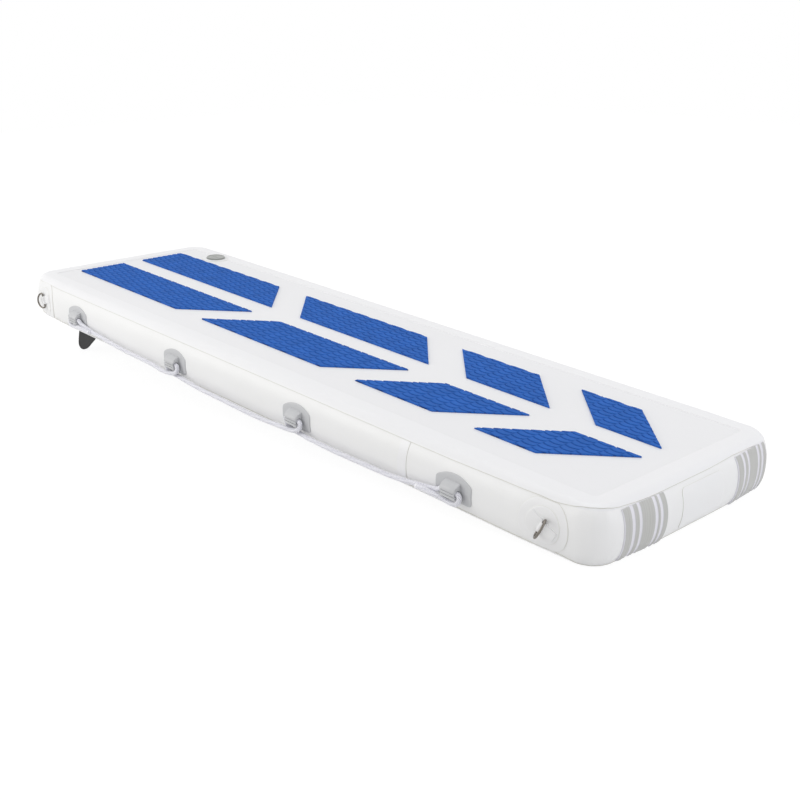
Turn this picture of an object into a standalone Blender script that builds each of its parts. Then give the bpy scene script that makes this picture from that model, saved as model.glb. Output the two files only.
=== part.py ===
# Inflatable drop-stitch gangway with foam deck pads, lifelines, D-rings, valve and fins.
# +X runs along the deck to the end with the rubbing strips, +Y across it, +Z up.
# The origin is the centre of the flat underside. Lengths are in metres, angles in degrees.

import math

import bmesh
import bpy
import numpy as np
from mathutils import Matrix, Vector

# Body
body_length = 2.10
body_width = 0.615
body_height = 0.12
side_bulge = 0.038
corner_bulge = 0.029
deck_corner_radius = 0.040
bulge_ease = 0.12
bulge_power_share = 2.1
skin_thickness = 0.0009
clearance = 0.0003
patch_clearance = 0.0005
corner_steps = 6
wall_steps = 8
wall_table_count = 721

# Seam tapes and the side lap joint
tape_thickness = 0.0008
tape_on_deck = 0.030
tape_edge_drop = 0.0105
skin_edge_drop = 0.008
joint_tape_width = 0.026
joint_tape_thickness = 0.0006
joint_tape_inset = 0.481

# Inner yarns
web_thickness = 0.0010
web_spacing = 0.090
web_margin = 0.012
cross_web_count = 3
web_overrun = 0.002

# Deck pads
pad_thickness = 0.004
pad_side_inset = 0.1355
pad_inner_edge = 0.0325
pad_slant = 0.147
pad_far_inset = 0.093
pad_near_inset = 0.1185
pad_length_shares = (0.497, 0.476, 0.243, 0.161)
pad_gap = 0.1215
pad_corner_radius = 0.003
pad_corner_steps = 2

# Valve
valve_far_inset = 0.204
valve_side_inset = 0.0835
valve_steps = 24
small_steps = 16
valve_patch_radius = 0.042
valve_patch_thickness = 0.0009
valve_flange_radius = 0.0285
valve_flange_thickness = 0.0014
valve_neck_radius = 0.025
valve_neck_length = 0.0235
valve_bore_radius = 0.017
valve_seat_radius = 0.0135
spider_thickness = 0.0020
air_hole_radius = 0.0032
air_hole_circle = 0.0085
air_hole_count = 4
air_hole_steps = 12
nut_wall = 0.006
nut_height = 0.010
plunger_button_radius = 0.007
plunger_button_height = 0.0018
plunger_button_depth = 0.001
plunger_stem_radius = 0.0028
plunger_disc_radius = 0.0155
plunger_disc_height = 0.0025
plunger_travel = 0.003
spring_solid_height = 0.0042
gasket_height = 0.0015
gasket_inner_radius = 0.0100
spring_radius = 0.0046
spring_wire_radius = 0.0004
spring_turns = 3.5
spring_steps = 9
spring_sides = 5
cap_radius = 0.0272
cap_height = 0.0030
cap_rim_radius = 0.0215
cap_pocket_depth = 0.0008
cap_grip_width = 0.009
cap_skirt_outer_radius = 0.0164
cap_skirt_inner_radius = 0.0150
cap_skirt_depth = 0.0015
cap_bevel = 0.0012
seal_outer_radius = 0.0235
seal_inner_radius = 0.0205
seal_height = 0.0008
cutter_overrun = 0.004

# Rope holders
holder_far_inset = 0.309
holder_near_inset = 0.3489
holder_count = 4
holder_patch_width = 0.095
holder_patch_drop = 0.0295
holder_patch_rise = 0.0120
holder_arch_rise = 0.0158
holder_arch_steps = 8
holder_corner_radius = 0.010
holder_corner_steps = 3
holder_patch_thickness = 0.0012
holder_block_width = 0.039
holder_block_drop = 0.0185
holder_block_rise = 0.0135
holder_block_depth = 0.0200
holder_block_sink = 0.0006
holder_back_steps = 4
holder_front_shares = (
    (0.88, 0.00), (0.92, 0.12), (0.98, 0.15), (1.00, 0.38),
    (0.96, 0.56), (0.82, 0.73), (0.60, 0.86), (0.30, 0.96),
)
holder_bore_radius = 0.0064
holder_bore_depth = 0.010
holder_bore_drop = 0.0058

# Lifelines
rope_radius = 0.0058
rope_longest_step = 0.080
rope_chord_error = 0.00045
rope_fine_steps = 12
rope_bevel_resolution = 2

# D-rings
ring_wire_radius = 0.0024
ring_half_width = 0.0205
ring_reach = 0.0240
ring_corner_radius = 0.005
ring_corner_steps = 3
ring_arc_steps = 10
ring_wire_sides = 8
near_ring_inset = 0.132
far_ring_inset = 0.110
near_bar_tilt = 29.0
far_bar_tilt = -20.0
near_ring_angle = 26.0
far_ring_angle = -70.0
disc_radius = 0.0555
disc_top_radius = 0.0375
disc_rim_thickness = 0.0009
disc_thickness = 0.0016
disc_steps = 9
strap_width = 0.022
strap_half_length = 0.031
strap_thickness = 0.0010
strap_foot_share = 0.35
strap_loop_steps = 6
bar_clearance = 0.0004

# Near end trim
trim_centre = 0.0095
strip_side_inset = 0.0705
strip_width = 0.118
strip_base = 0.0014
strip_rib_height = 0.0014
strip_rib_shares = ((0.004, 0.18), (0.24, 0.345), (0.395, 0.695), (0.75, 0.82), (0.872, 0.996))
strip_rim = 0.0012
strip_edge_gap = 0.0010
panel_strip_gap = 0.051
panel_thickness = 0.0006
panel_corner_radius = 0.012
panel_corner_steps = 3
panel_edge_gap = 0.007

# Fins
fin_side_inset = 0.0925
fin_far_inset = 0.128
fin_length = 0.098
fin_root_shares = (0.13, 0.98)
fin_neck_drop = 0.0155
fin_drop = 0.0965
fin_thickness = 0.0070
# Blade from its back edge round the tip to its front, as shares of its length and drop
fin_blade_shares = (
    (0.103, 0.42), (0.033, 0.67), (0.000, 0.85), (0.008, 0.90), (0.034, 0.945), (0.102, 0.988),
    (0.192, 1.000), (0.299, 0.982), (0.410, 0.932), (0.508, 0.866), (0.640, 0.760), (0.772, 0.648),
    (0.888, 0.553), (0.958, 0.490), (0.990, 0.440), (1.000, 0.370), (0.990, 0.260),
)
fin_bevel = 0.0012
fin_arc_steps = 6
fin_base_length = 0.136
fin_base_width = 0.039
fin_base_thickness = 0.0030
fin_boss_margin = 0.012
fin_boss_width = 0.016
fin_boss_height = 0.010
fin_slot_depth = 0.0085

half_length = body_length / 2
half_width = body_width / 2
half_height = body_height / 2
deck_half_length = half_length - side_bulge
deck_half_width = half_width - side_bulge
side_straight = deck_half_length - deck_corner_radius
end_straight = deck_half_width - deck_corner_radius
corner_run = (deck_corner_radius + corner_bulge) * math.pi / 2
side_middle_run = end_straight + corner_run + side_straight
half_run = 2 * side_middle_run
tape_edge_height = body_height - tape_edge_drop
skin_edge_height = body_height - skin_edge_drop
joint_tape_place = half_length - joint_tape_inset
pad_outer_edge = half_width - pad_side_inset
pad_row_start = pad_far_inset - half_length
pad_gaps = (len(pad_length_shares) - 1) * pad_gap
pad_row_length = body_length - pad_far_inset - pad_near_inset - pad_slant - pad_gaps
valve_x = valve_far_inset - half_length
valve_y = half_width - valve_side_inset
holder_first_x = holder_far_inset - half_length
holder_pitch = (body_length - holder_far_inset - holder_near_inset) / (holder_count - 1)
holder_patch_base = half_height - holder_patch_drop
holder_patch_shoulder = half_height + holder_patch_rise
holder_block_low = half_height - holder_block_drop
holder_block_high = half_height + holder_block_rise
holder_bore_height = half_height - holder_bore_drop
near_ring_x = half_length - near_ring_inset
far_ring_x = far_ring_inset - half_length
strip_inner_edge = half_width - strip_side_inset - strip_width
strip_edge_height = tape_edge_drop + strip_edge_gap
panel_half_width = strip_inner_edge - panel_strip_gap
panel_edge_height = tape_edge_height - panel_edge_gap
fin_y = half_width - fin_side_inset
fin_back = fin_far_inset - half_length
fin_root_back = fin_back + fin_length * fin_root_shares[0]
fin_root_front = fin_back + fin_length * fin_root_shares[1]
side_cut_depths = (deck_half_width - cutter_overrun, half_width + 2 * cutter_overrun)
end_cut_depths = (deck_half_length - cutter_overrun, half_length + 2 * cutter_overrun)


def clear_scene():
    for obj in list(bpy.data.objects):
        bpy.data.objects.remove(obj, do_unlink=True)


def make_material(name, colour, roughness, metallic=0.0):
    material = bpy.data.materials.new(name)
    material.use_nodes = True
    shader = material.node_tree.nodes["Principled BSDF"]
    shader.inputs["Base Color"].default_value = (*colour, 1.0)
    shader.inputs["Roughness"].default_value = roughness
    shader.inputs["Metallic"].default_value = metallic
    return material


def add_mesh(name, points, faces, material, smooth_angle=40.0):
    mesh = bpy.data.meshes.new(name)
    mesh.from_pydata([tuple(p) for p in points], [], faces)
    edit = bmesh.new()
    edit.from_mesh(mesh)
    bmesh.ops.recalc_face_normals(edit, faces=edit.faces)
    edit.to_mesh(mesh)
    edit.free()
    mesh.shade_smooth()
    mesh.set_sharp_from_angle(angle=math.radians(smooth_angle))
    mesh.materials.append(material)
    obj = bpy.data.objects.new(name, mesh)
    bpy.context.collection.objects.link(obj)
    return obj


def hide_cutter(obj):
    obj.hide_render = True
    obj.display_type = "WIRE"
    return obj


def add_boolean(obj, other, operation):
    modifier = obj.modifiers.new(other.name, "BOOLEAN")
    modifier.object = hide_cutter(other)
    modifier.operation = operation
    modifier.solver = "EXACT"


def smooth_share(share):
    share = min(max(share, 0.0), 1.0)
    return share * share * (3 - 2 * share)


# Place on the deck outline at a run measured round the body from the middle of the near end
def outline_at(run):
    side = -1 if run < 0 else 1
    rest = abs(run)
    if rest <= end_straight:
        x, y, angle, from_corner = deck_half_length, rest, 0.0, end_straight - rest
    elif rest <= end_straight + corner_run:
        angle = (rest - end_straight) / corner_run * 90.0
        x = side_straight + deck_corner_radius * math.cos(math.radians(angle))
        y = end_straight + deck_corner_radius * math.sin(math.radians(angle))
        from_corner = 0.0
    elif rest <= end_straight + corner_run + 2 * side_straight:
        along = rest - end_straight - corner_run
        x, y, angle = side_straight - along, deck_half_width, 90.0
        from_corner = min(along, 2 * side_straight - along)
    elif rest <= half_run - end_straight:
        angle = 90.0 + (rest - end_straight - corner_run - 2 * side_straight) / corner_run * 90.0
        x = -side_straight + deck_corner_radius * math.cos(math.radians(angle))
        y = end_straight + deck_corner_radius * math.sin(math.radians(angle))
        from_corner = 0.0
    else:
        x, y, angle = -deck_half_length, half_run - rest, 180.0
        from_corner = rest - half_run + end_straight
    bulge = corner_bulge + (side_bulge - corner_bulge) * smooth_share(from_corner / bulge_ease)
    normal = Vector((math.cos(math.radians(angle)), side * math.sin(math.radians(angle))))
    return Vector((x, side * y)), normal, bulge


# Side wall section: how far it stands out, its height and its normal at an angle from -90 to 90
def wall_section(angle, bulge):
    c = abs(math.cos(math.radians(angle)))
    s = abs(math.sin(math.radians(angle)))
    sign = math.copysign(1.0, angle)
    out = bulge * c ** (2 / bulge_power_share)
    height = half_height + sign * half_height * s ** (2 / bulge_power_share)
    power = 2 - 2 / bulge_power_share
    lean = Vector((c ** power / bulge, sign * s ** power / half_height))
    return out, height, lean.normalized()


def wall_angle_at(height):
    share = (height - half_height) / half_height
    return math.copysign(math.degrees(math.asin(abs(share) ** (bulge_power_share / 2))), share)


# A row is (angle on the wall, inset on the deck); lift is the distance off the surface
def skin_point(run, row, lift):
    place, normal, bulge = outline_at(run)
    angle, inset = row
    out, height, lean = wall_section(angle, bulge)
    flat = place + normal * (out - inset + lift * lean[0])
    return Vector((flat[0], flat[1], height + lift * lean[1]))


def wall_run_table():
    angles = np.linspace(-90.0, 90.0, wall_table_count)
    points = np.array([wall_section(a, side_bulge)[:2] for a in angles])
    runs = np.concatenate([[0.0], np.cumsum(np.linalg.norm(np.diff(points, axis=0), axis=1))])
    return angles, runs - np.interp(0.0, angles, runs)


table_angles, table_runs = wall_run_table()


def angle_at_wall_run(run):
    return float(np.interp(run, table_runs, table_angles))


# Run round the body of a place at x on one long side; side is -1 or 1
def run_at(side, x):
    return side * (side_middle_run - x)


def ring_stations():
    ease = bulge_ease
    ends = [0.0, end_straight - ease, end_straight - ease / 2]
    runs = {0.0}
    for share in range(corner_steps + 1):
        runs.add(end_straight + corner_run * share / corner_steps)
        runs.add(half_run - end_straight - corner_run * share / corner_steps)
    for place in ends[1:]:
        runs.add(place)
        runs.add(half_run - place)
    first_side = end_straight + corner_run
    last_side = first_side + 2 * side_straight
    for part in (ease / 2, ease):
        runs.add(first_side + part)
        runs.add(last_side - part)
    runs.add(side_middle_run)
    both = sorted(runs | {-run for run in runs})
    return both + [half_run]


stations = ring_stations()
skin_edge_angle = wall_angle_at(skin_edge_height)
tape_edge_angle = wall_angle_at(tape_edge_height)
band_angles = (
    [-skin_edge_angle]
    + [tape_edge_angle * (2 * step / wall_steps - 1) for step in range(wall_steps + 1)]
    + [skin_edge_angle]
)
shoulder_angles = [skin_edge_angle, (skin_edge_angle + 90.0) / 2, 90.0]


# Closed sheet from two grids of points; a closed loop joins its last column to its first
def sheet_mesh(name, top, bottom, material, loop=False):
    columns, rows = len(top), len(top[0])
    points = [p for column in top for p in column] + [p for column in bottom for p in column]
    low = columns * rows
    faces = []
    spans = columns if loop else columns - 1
    for i in range(spans):
        j = (i + 1) % columns
        for r in range(rows - 1):
            a, b, c, d = i * rows + r, j * rows + r, j * rows + r + 1, i * rows + r + 1
            faces.append((a, b, c, d))
            faces.append((low + a, low + d, low + c, low + b))
        for r in (0, rows - 1):
            a, b = i * rows + r, j * rows + r
            faces.append((a, low + a, low + b, b))
    if not loop:
        for i in (0, columns - 1):
            for r in range(rows - 1):
                a, b = i * rows + r, i * rows + r + 1
                faces.append((a, b, low + b, low + a))
    return add_mesh(name, points, faces, material)


def ring_sheet(name, rows, low_lift, high_lift, material):
    top = [[skin_point(run, row, high_lift) for row in rows] for run in stations]
    bottom = [[skin_point(run, row, low_lift) for row in rows] for run in stations]
    return sheet_mesh(name, top, bottom, material, loop=True)


# A skin: flat middle plus the shoulder that curls down to the side band
def skin_sheet(name, sign, material):
    rows = [(sign * angle, 0.0) for angle in shoulder_angles]
    count, depth = len(stations), len(rows)
    points = []
    for lift in (0.0, -skin_thickness):
        points += [skin_point(run, row, lift) for run in stations for row in rows]
    faces = []
    inner = count * depth
    for i in range(count):
        j = (i + 1) % count
        for r in range(depth - 1):
            a, b, c, d = i * depth + r, j * depth + r, j * depth + r + 1, i * depth + r + 1
            faces.append((a, b, c, d))
            faces.append((inner + a, inner + d, inner + c, inner + b))
        faces.append((i * depth, inner + i * depth, inner + j * depth, j * depth))
    faces.append([i * depth + depth - 1 for i in range(count)])
    faces.append([inner + i * depth + depth - 1 for i in reversed(range(count))])
    return add_mesh(name, points, faces, material)


# Sheet on the side band's own stations and rows, so that the gap under it is even
def fitted_sheet(name, first_run, last_run, lifts, material):
    low = max(run for run in stations if run <= first_run)
    high = min(run for run in stations if run >= last_run)
    runs = [run for run in stations if low <= run <= high]
    top, bottom = (
        [[skin_point(run, (angle, 0.0), lift) for angle in band_angles] for run in runs]
        for lift in (lifts[1], lifts[0])
    )
    return sheet_mesh(name, top, bottom, material)


# Keeps only what lies inside outlines that are drawn in a plane and pushed through the sheet
def trim_sheet(obj, outlines, depths, frame, operation="INTERSECT"):
    cutter = prism_mesh("sheet_outline", outlines, depths, frame, obj.data.materials[0])
    add_boolean(obj, cutter, operation)


def side_frame(side, x=0.0):
    return lambda u, v, d: Vector((x + u, side * d, v))


def side_sheet(name, side, x, half_span, lifts, outlines, material):
    runs = sorted((run_at(side, x - half_span), run_at(side, x + half_span)))
    obj = fitted_sheet(name, runs[0], runs[1], lifts, material)
    trim_sheet(obj, outlines, side_cut_depths, side_frame(side, x))
    return obj


def end_sheet(name, lifts, outlines, material):
    places = [p[0] for outline in outlines for p in outline]
    obj = fitted_sheet(name, min(places), max(places), lifts, material)
    trim_sheet(obj, outlines, end_cut_depths, lambda u, v, d: Vector((d, u, v)))
    return obj


# Solid of revolution about +Z through a centre, from a closed profile of (radius, height)
def turned_mesh(name, profile, centre, steps, material):
    points, rings = [], []
    for radius, height in profile:
        if radius == 0.0:
            rings.append([len(points)] * steps)
            points.append(centre + Vector((0.0, 0.0, height)))
            continue
        rings.append(list(range(len(points), len(points) + steps)))
        for step in range(steps):
            turn = 2 * math.pi * step / steps
            points.append(centre + Vector((radius * math.cos(turn), radius * math.sin(turn), height)))
    faces = []
    for k in range(len(profile)):
        a, b = rings[k], rings[(k + 1) % len(profile)]
        if a[0] == a[-1] and b[0] == b[-1]:
            continue
        for i in range(steps):
            j = (i + 1) % steps
            faces.append(tuple(dict.fromkeys((a[i], a[j], b[j], b[i]))))
    return add_mesh(name, points, faces, material)


# Prism over outlines in a plane; frame turns (u, v, depth) into the model's axes
def prism_mesh(name, outlines, depths, frame, material):
    points, faces = [], []
    for outline in outlines:
        count, first = len(outline), len(points)
        points += [frame(u, v, depth) for depth in depths for u, v in outline]
        faces.append(tuple(range(first, first + count)))
        faces.append(tuple(range(first + 2 * count - 1, first + count - 1, -1)))
        for i in range(count):
            j = (i + 1) % count
            faces.append((first + i, first + count + i, first + count + j, first + j))
    return add_mesh(name, points, faces, material)


def rounded_outline(corners, radius, steps):
    outline = []
    count = len(corners)
    for k in range(count):
        here = Vector(corners[k])
        before = (Vector(corners[k - 1]) - here).normalized()
        after = (Vector(corners[(k + 1) % count]) - here).normalized()
        half = before.angle(after) / 2
        reach = radius / math.tan(half)
        centre = here + (before + after).normalized() * (radius / math.sin(half))
        first = here + before * reach - centre
        last = here + after * reach - centre
        sweep = first.angle_signed(last)
        for step in range(steps + 1):
            turn = Matrix.Rotation(-sweep * step / steps, 2)
            outline.append(centre + turn @ first)
    return outline


def build_body(skin, band, yarn):
    skin_sheet("top_skin", 1, skin)
    skin_sheet("bottom_skin", -1, skin)
    # The band's edges stop short of the skins' edges by the clearance
    step_back = math.degrees(2 * clearance / half_height)
    angles = band_angles.copy()
    angles[0] += step_back
    angles[-1] -= step_back
    ring_sheet("side_band", [(angle, 0.0) for angle in angles], -skin_thickness, 0.0, band)
    build_core(yarn)


def build_tapes(tape):
    high = clearance + tape_thickness
    for name, sign in (("top_seam_tape", 1), ("bottom_seam_tape", -1)):
        rows = [(sign * tape_edge_angle, 0.0)]
        rows += [(sign * angle, 0.0) for angle in shoulder_angles]
        rows.append((sign * 90.0, tape_on_deck))
        ring_sheet(name, rows, clearance, high, tape)
    edge = tape_edge_angle - math.degrees(2 * clearance / half_height)
    angles = [-edge] + band_angles[2:-2] + [edge]
    for name, side in (("side_joint_tape_left", -1), ("side_joint_tape_right", 1)):
        runs = [run_at(side, x) for x in (joint_tape_place - joint_tape_width, joint_tape_place)]
        high = clearance + joint_tape_thickness
        top = [[skin_point(run, (angle, 0.0), high) for angle in angles] for run in runs]
        bottom = [[skin_point(run, (angle, 0.0), clearance) for angle in angles] for run in runs]
        sheet_mesh(name, top, bottom, tape)


# Crossing webs stand for the many yarns between the skins
def build_core(yarn):
    low = skin_thickness + clearance
    height = body_height - 2 * low
    length = 2 * (deck_half_length - web_margin)
    middle = Vector((0.0, 0.0, half_height))
    core = None
    # The outermost webs stay clear of the valve's nut
    reach = valve_y - valve_neck_radius - nut_wall - web_margin
    count = 1 + 2 * int(reach / web_spacing)
    places = []
    for k in range(count):
        y = (k - (count - 1) / 2) * web_spacing
        places.append((Vector((0.0, y, 0.0)), length, web_thickness))
    pitch = length / (cross_web_count + 1)
    across = (count - 1) * web_spacing + web_overrun
    for k in range(cross_web_count):
        x = (k - (cross_web_count - 1) / 2) * pitch
        places.append((Vector((x, 0.0, 0.0)), web_thickness, across))
    for place, long_size, cross_size in places:
        web = box_mesh("drop_stitch_core", middle + place, (long_size, cross_size, height), yarn)
        if core is None:
            core = web
        else:
            web.name = "web_guide"
            add_boolean(core, web, "UNION")


def box_mesh(name, centre, size, material):
    half = Vector(size) / 2
    corners = [(-half[0], -half[1]), (half[0], -half[1]), (half[0], half[1]), (-half[0], half[1])]
    return prism_mesh(
        name, [corners], (-half[2], half[2]), lambda u, v, d: centre + Vector((u, v, d)), material
    )


def build_pads(foam):
    low = body_height + clearance
    for side, word in ((-1, "left"), (1, "right")):
        outer = pad_row_start
        for number, share in enumerate(pad_length_shares, 1):
            length = pad_row_length * share / sum(pad_length_shares)
            inner = outer if number == 1 else outer + pad_slant
            corners = [
                (outer, side * pad_outer_edge),
                (inner, side * pad_inner_edge),
                (outer + length + pad_slant, side * pad_inner_edge),
                (outer + length, side * pad_outer_edge),
            ]
            outline = rounded_outline(corners, pad_corner_radius, pad_corner_steps)
            prism_mesh(
                f"deck_pad_{word}_{number}",
                [outline],
                (low, low + pad_thickness),
                lambda u, v, d: Vector((u, v, d)),
                foam,
            )
            outer += length + pad_gap


def build_valve(patch, grey, dark, rubber, steel):
    deck = Vector((valve_x, valve_y, body_height))
    hole = valve_neck_radius + patch_clearance
    reach = cutter_overrun
    cutter = turned_mesh(
        "skin_hole", [(0.0, -reach), (hole, -reach), (hole, reach), (0.0, reach)], deck, valve_steps, patch
    )
    add_boolean(bpy.data.objects["top_skin"], cutter, "DIFFERENCE")
    recess = valve_patch_radius + clearance
    tape_cutter = turned_mesh(
        "tape_recess", [(0.0, 0.0), (recess, 0.0), (recess, reach), (0.0, reach)], deck, valve_steps, patch
    )
    add_boolean(bpy.data.objects["top_seam_tape"], tape_cutter, "DIFFERENCE")
    patch_top = clearance + valve_patch_thickness
    turned_mesh(
        "valve_patch",
        [
            (hole, clearance),
            (valve_patch_radius, clearance),
            (valve_patch_radius, patch_top),
            (hole, patch_top),
        ],
        deck,
        valve_steps,
        patch,
    )
    under = patch_top + clearance
    flange_top = under + valve_flange_thickness
    bottom = -valve_neck_length
    button_low = flange_top - plunger_button_depth - plunger_button_height
    spider_top = button_low - plunger_travel - spring_solid_height
    spider_low = spider_top - spider_thickness
    stem_hole = plunger_stem_radius + clearance
    body = turned_mesh(
        "valve_body",
        [
            (valve_neck_radius, bottom),
            (valve_neck_radius, under),
            (valve_flange_radius, under),
            (valve_flange_radius, flange_top),
            (valve_bore_radius, flange_top),
            (valve_bore_radius, spider_top),
            (stem_hole, spider_top),
            (stem_hole, spider_low),
            (valve_seat_radius, spider_low),
            (valve_seat_radius, bottom),
        ],
        deck,
        valve_steps,
        grey,
    )
    for k in range(air_hole_count):
        turn = 2 * math.pi * (k + 1 / 2) / air_hole_count
        at = deck + Vector((air_hole_circle * math.cos(turn), air_hole_circle * math.sin(turn), 0.0))
        ends = (spider_low - reach / 2, spider_top + reach / 2)
        hole_profile = [
            (0.0, ends[0]), (air_hole_radius, ends[0]), (air_hole_radius, ends[1]), (0.0, ends[1])
        ]
        add_boolean(body, turned_mesh("air_hole", hole_profile, at, air_hole_steps, grey), "DIFFERENCE")
    nut_top = -skin_thickness - clearance
    nut_bore = valve_neck_radius + clearance
    turned_mesh(
        "valve_nut",
        [
            (nut_bore, nut_top - nut_height),
            (nut_bore + nut_wall, nut_top - nut_height),
            (nut_bore + nut_wall, nut_top),
            (nut_bore, nut_top),
        ],
        deck,
        valve_steps,
        dark,
    )
    build_valve_inside(deck, flange_top, spider_top, bottom, grey, rubber, steel)
    build_valve_cap(deck, flange_top, grey, rubber)


def build_valve_inside(deck, flange_top, spider_top, bottom, grey, rubber, steel):
    button_top = flange_top - plunger_button_depth
    button_low = button_top - plunger_button_height
    gasket_top = bottom - clearance
    disc_top = gasket_top - gasket_height - clearance
    disc_low = disc_top - plunger_disc_height
    turned_mesh(
        "valve_plunger",
        [
            (0.0, disc_low),
            (plunger_disc_radius, disc_low),
            (plunger_disc_radius, disc_top),
            (plunger_stem_radius, disc_top),
            (plunger_stem_radius, button_low),
            (plunger_button_radius, button_low),
            (plunger_button_radius, button_top),
            (0.0, button_top),
        ],
        deck,
        small_steps,
        grey,
    )
    turned_mesh(
        "valve_gasket",
        [
            (gasket_inner_radius, disc_top + clearance),
            (plunger_disc_radius, disc_top + clearance),
            (plunger_disc_radius, gasket_top),
            (gasket_inner_radius, gasket_top),
        ],
        deck,
        small_steps,
        rubber,
    )
    low = spider_top + clearance + spring_wire_radius
    high = button_low - clearance - spring_wire_radius
    count = int(spring_turns * spring_steps)
    points = []
    for k in range(count + 1):
        turn = 2 * math.pi * k / spring_steps
        rise = low + (high - low) * k / count
        points.append(deck + Vector((spring_radius * math.cos(turn), spring_radius * math.sin(turn), rise)))
    tube_mesh("valve_spring", points, spring_wire_radius, spring_sides, steel)


def build_valve_cap(deck, flange_top, grey, rubber):
    low = flange_top + clearance
    seal_low = low
    seal_top = low + seal_height
    roof = seal_top + clearance
    top = low + cap_height
    turned_mesh(
        "valve_cap_seal",
        [
            (seal_inner_radius, seal_low),
            (seal_outer_radius, seal_low),
            (seal_outer_radius, seal_top),
            (seal_inner_radius, seal_top),
        ],
        deck,
        valve_steps,
        rubber,
    )
    cap = turned_mesh(
        "valve_cap",
        [
            (0.0, roof),
            (cap_skirt_inner_radius, roof),
            (cap_skirt_inner_radius, low - cap_skirt_depth),
            (cap_skirt_outer_radius, low - cap_skirt_depth),
            (cap_skirt_outer_radius, roof),
            (seal_outer_radius + clearance, roof),
            (seal_outer_radius + clearance, low),
            (cap_radius, low),
            (cap_radius, top - cap_bevel),
            (cap_radius - cap_bevel, top),
            (0.0, top),
        ],
        deck,
        valve_steps,
        grey,
    )
    floor = top - cap_pocket_depth
    half = cap_grip_width / 2
    start = math.asin(half / cap_rim_radius)
    for sign in (-1, 1):
        outline = []
        for step in range(small_steps + 1):
            turn = start + (math.pi - 2 * start) * step / small_steps
            outline.append((cap_rim_radius * math.cos(turn), sign * cap_rim_radius * math.sin(turn)))
        pocket = prism_mesh(
            "cap_pocket", [outline], (floor, top + cutter_overrun),
            lambda u, v, d: deck + Vector((u, v, d)), grey,
        )
        add_boolean(cap, pocket, "DIFFERENCE")


# Round tube along a list of points, open-ended with flat caps or closed in a loop
def tube_mesh(name, path, radius, sides, material, loop=False, reference=None):
    count = len(path)
    points, faces = [], []
    normal = reference
    for k in range(count):
        before = path[k - 1] if loop or k > 0 else path[k]
        after = path[(k + 1) % count] if loop or k < count - 1 else path[k]
        ahead = (after - before).normalized()
        if normal is None:
            normal = ahead.orthogonal()
        if reference is None:
            normal = (normal - ahead * normal.dot(ahead)).normalized()
        other = ahead.cross(normal)
        for step in range(sides):
            turn = 2 * math.pi * step / sides
            points.append(path[k] + normal * (radius * math.cos(turn)) + other * (radius * math.sin(turn)))
    for k in range(count if loop else count - 1):
        nxt = (k + 1) % count
        for i in range(sides):
            j = (i + 1) % sides
            faces.append((k * sides + i, k * sides + j, nxt * sides + j, nxt * sides + i))
    if not loop:
        faces.append(tuple(range(sides)))
        faces.append(tuple(range(len(points) - 1, len(points) - sides - 1, -1)))
    return add_mesh(name, points, faces, material)


def holder_x(number):
    return holder_first_x + (number - 1) * holder_pitch


# Stands of a point off one long side: depth is measured out from the widest line
def off_side(side, x, depth, height):
    return Vector((x, side * (half_width + depth), height))


def holder_outline():
    half = holder_patch_width / 2
    radius = (half ** 2 + holder_arch_rise ** 2) / (2 * holder_arch_rise)
    centre = holder_patch_shoulder + holder_arch_rise - radius
    spread = math.asin(half / radius)
    inner = half - holder_corner_radius
    level = holder_patch_base + holder_corner_radius
    outline = []
    for across, first in ((-inner, math.pi), (inner, 1.5 * math.pi)):
        for step in range(holder_corner_steps + 1):
            turn = first + math.pi / 2 * step / holder_corner_steps
            outline.append((
                across + holder_corner_radius * math.cos(turn),
                level + holder_corner_radius * math.sin(turn),
            ))
    for step in range(holder_arch_steps + 1):
        turn = spread * (1 - 2 * step / holder_arch_steps)
        outline.append((radius * math.sin(turn), centre + radius * math.cos(turn)))
    return outline


# Block profile in (depth, height), its back sunk into the patch that it is moulded with
def block_profile():
    lift = patch_clearance + holder_patch_thickness - holder_block_sink
    rise = holder_block_high - holder_block_low
    depth = holder_block_depth
    profile = [(out * depth, holder_block_low + up * rise) for out, up in holder_front_shares]
    for step in range(holder_back_steps + 1):
        height = holder_block_high - rise * step / holder_back_steps
        out, level, lean = wall_section(wall_angle_at(height), side_bulge)
        profile.append((out - side_bulge + lift * lean[0], height))
    return profile


def build_holders(vinyl):
    for side, word in ((-1, "left"), (1, "right")):
        for number in range(1, holder_count + 1):
            x = holder_x(number)
            lifts = (patch_clearance, patch_clearance + holder_patch_thickness)
            half = holder_patch_width / 2
            name = f"rope_holder_{word}_{number}"
            holder = side_sheet(name, side, x, half, lifts, [holder_outline()], vinyl)
            half = holder_block_width / 2
            block = prism_mesh(
                "holder_block", [block_profile()], (x - half, x + half),
                lambda u, v, d: off_side(side, d, u, v), vinyl,
            )
            add_boolean(holder, block, "UNION")
            reach = half + cutter_overrun
            ends = [off_side(side, x + s * reach, holder_bore_depth, holder_bore_height) for s in (-1, 1)]
            bore = tube_mesh("holder_bore", ends, holder_bore_radius, small_steps, vinyl)
            add_boolean(holder, bore, "DIFFERENCE")


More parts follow.
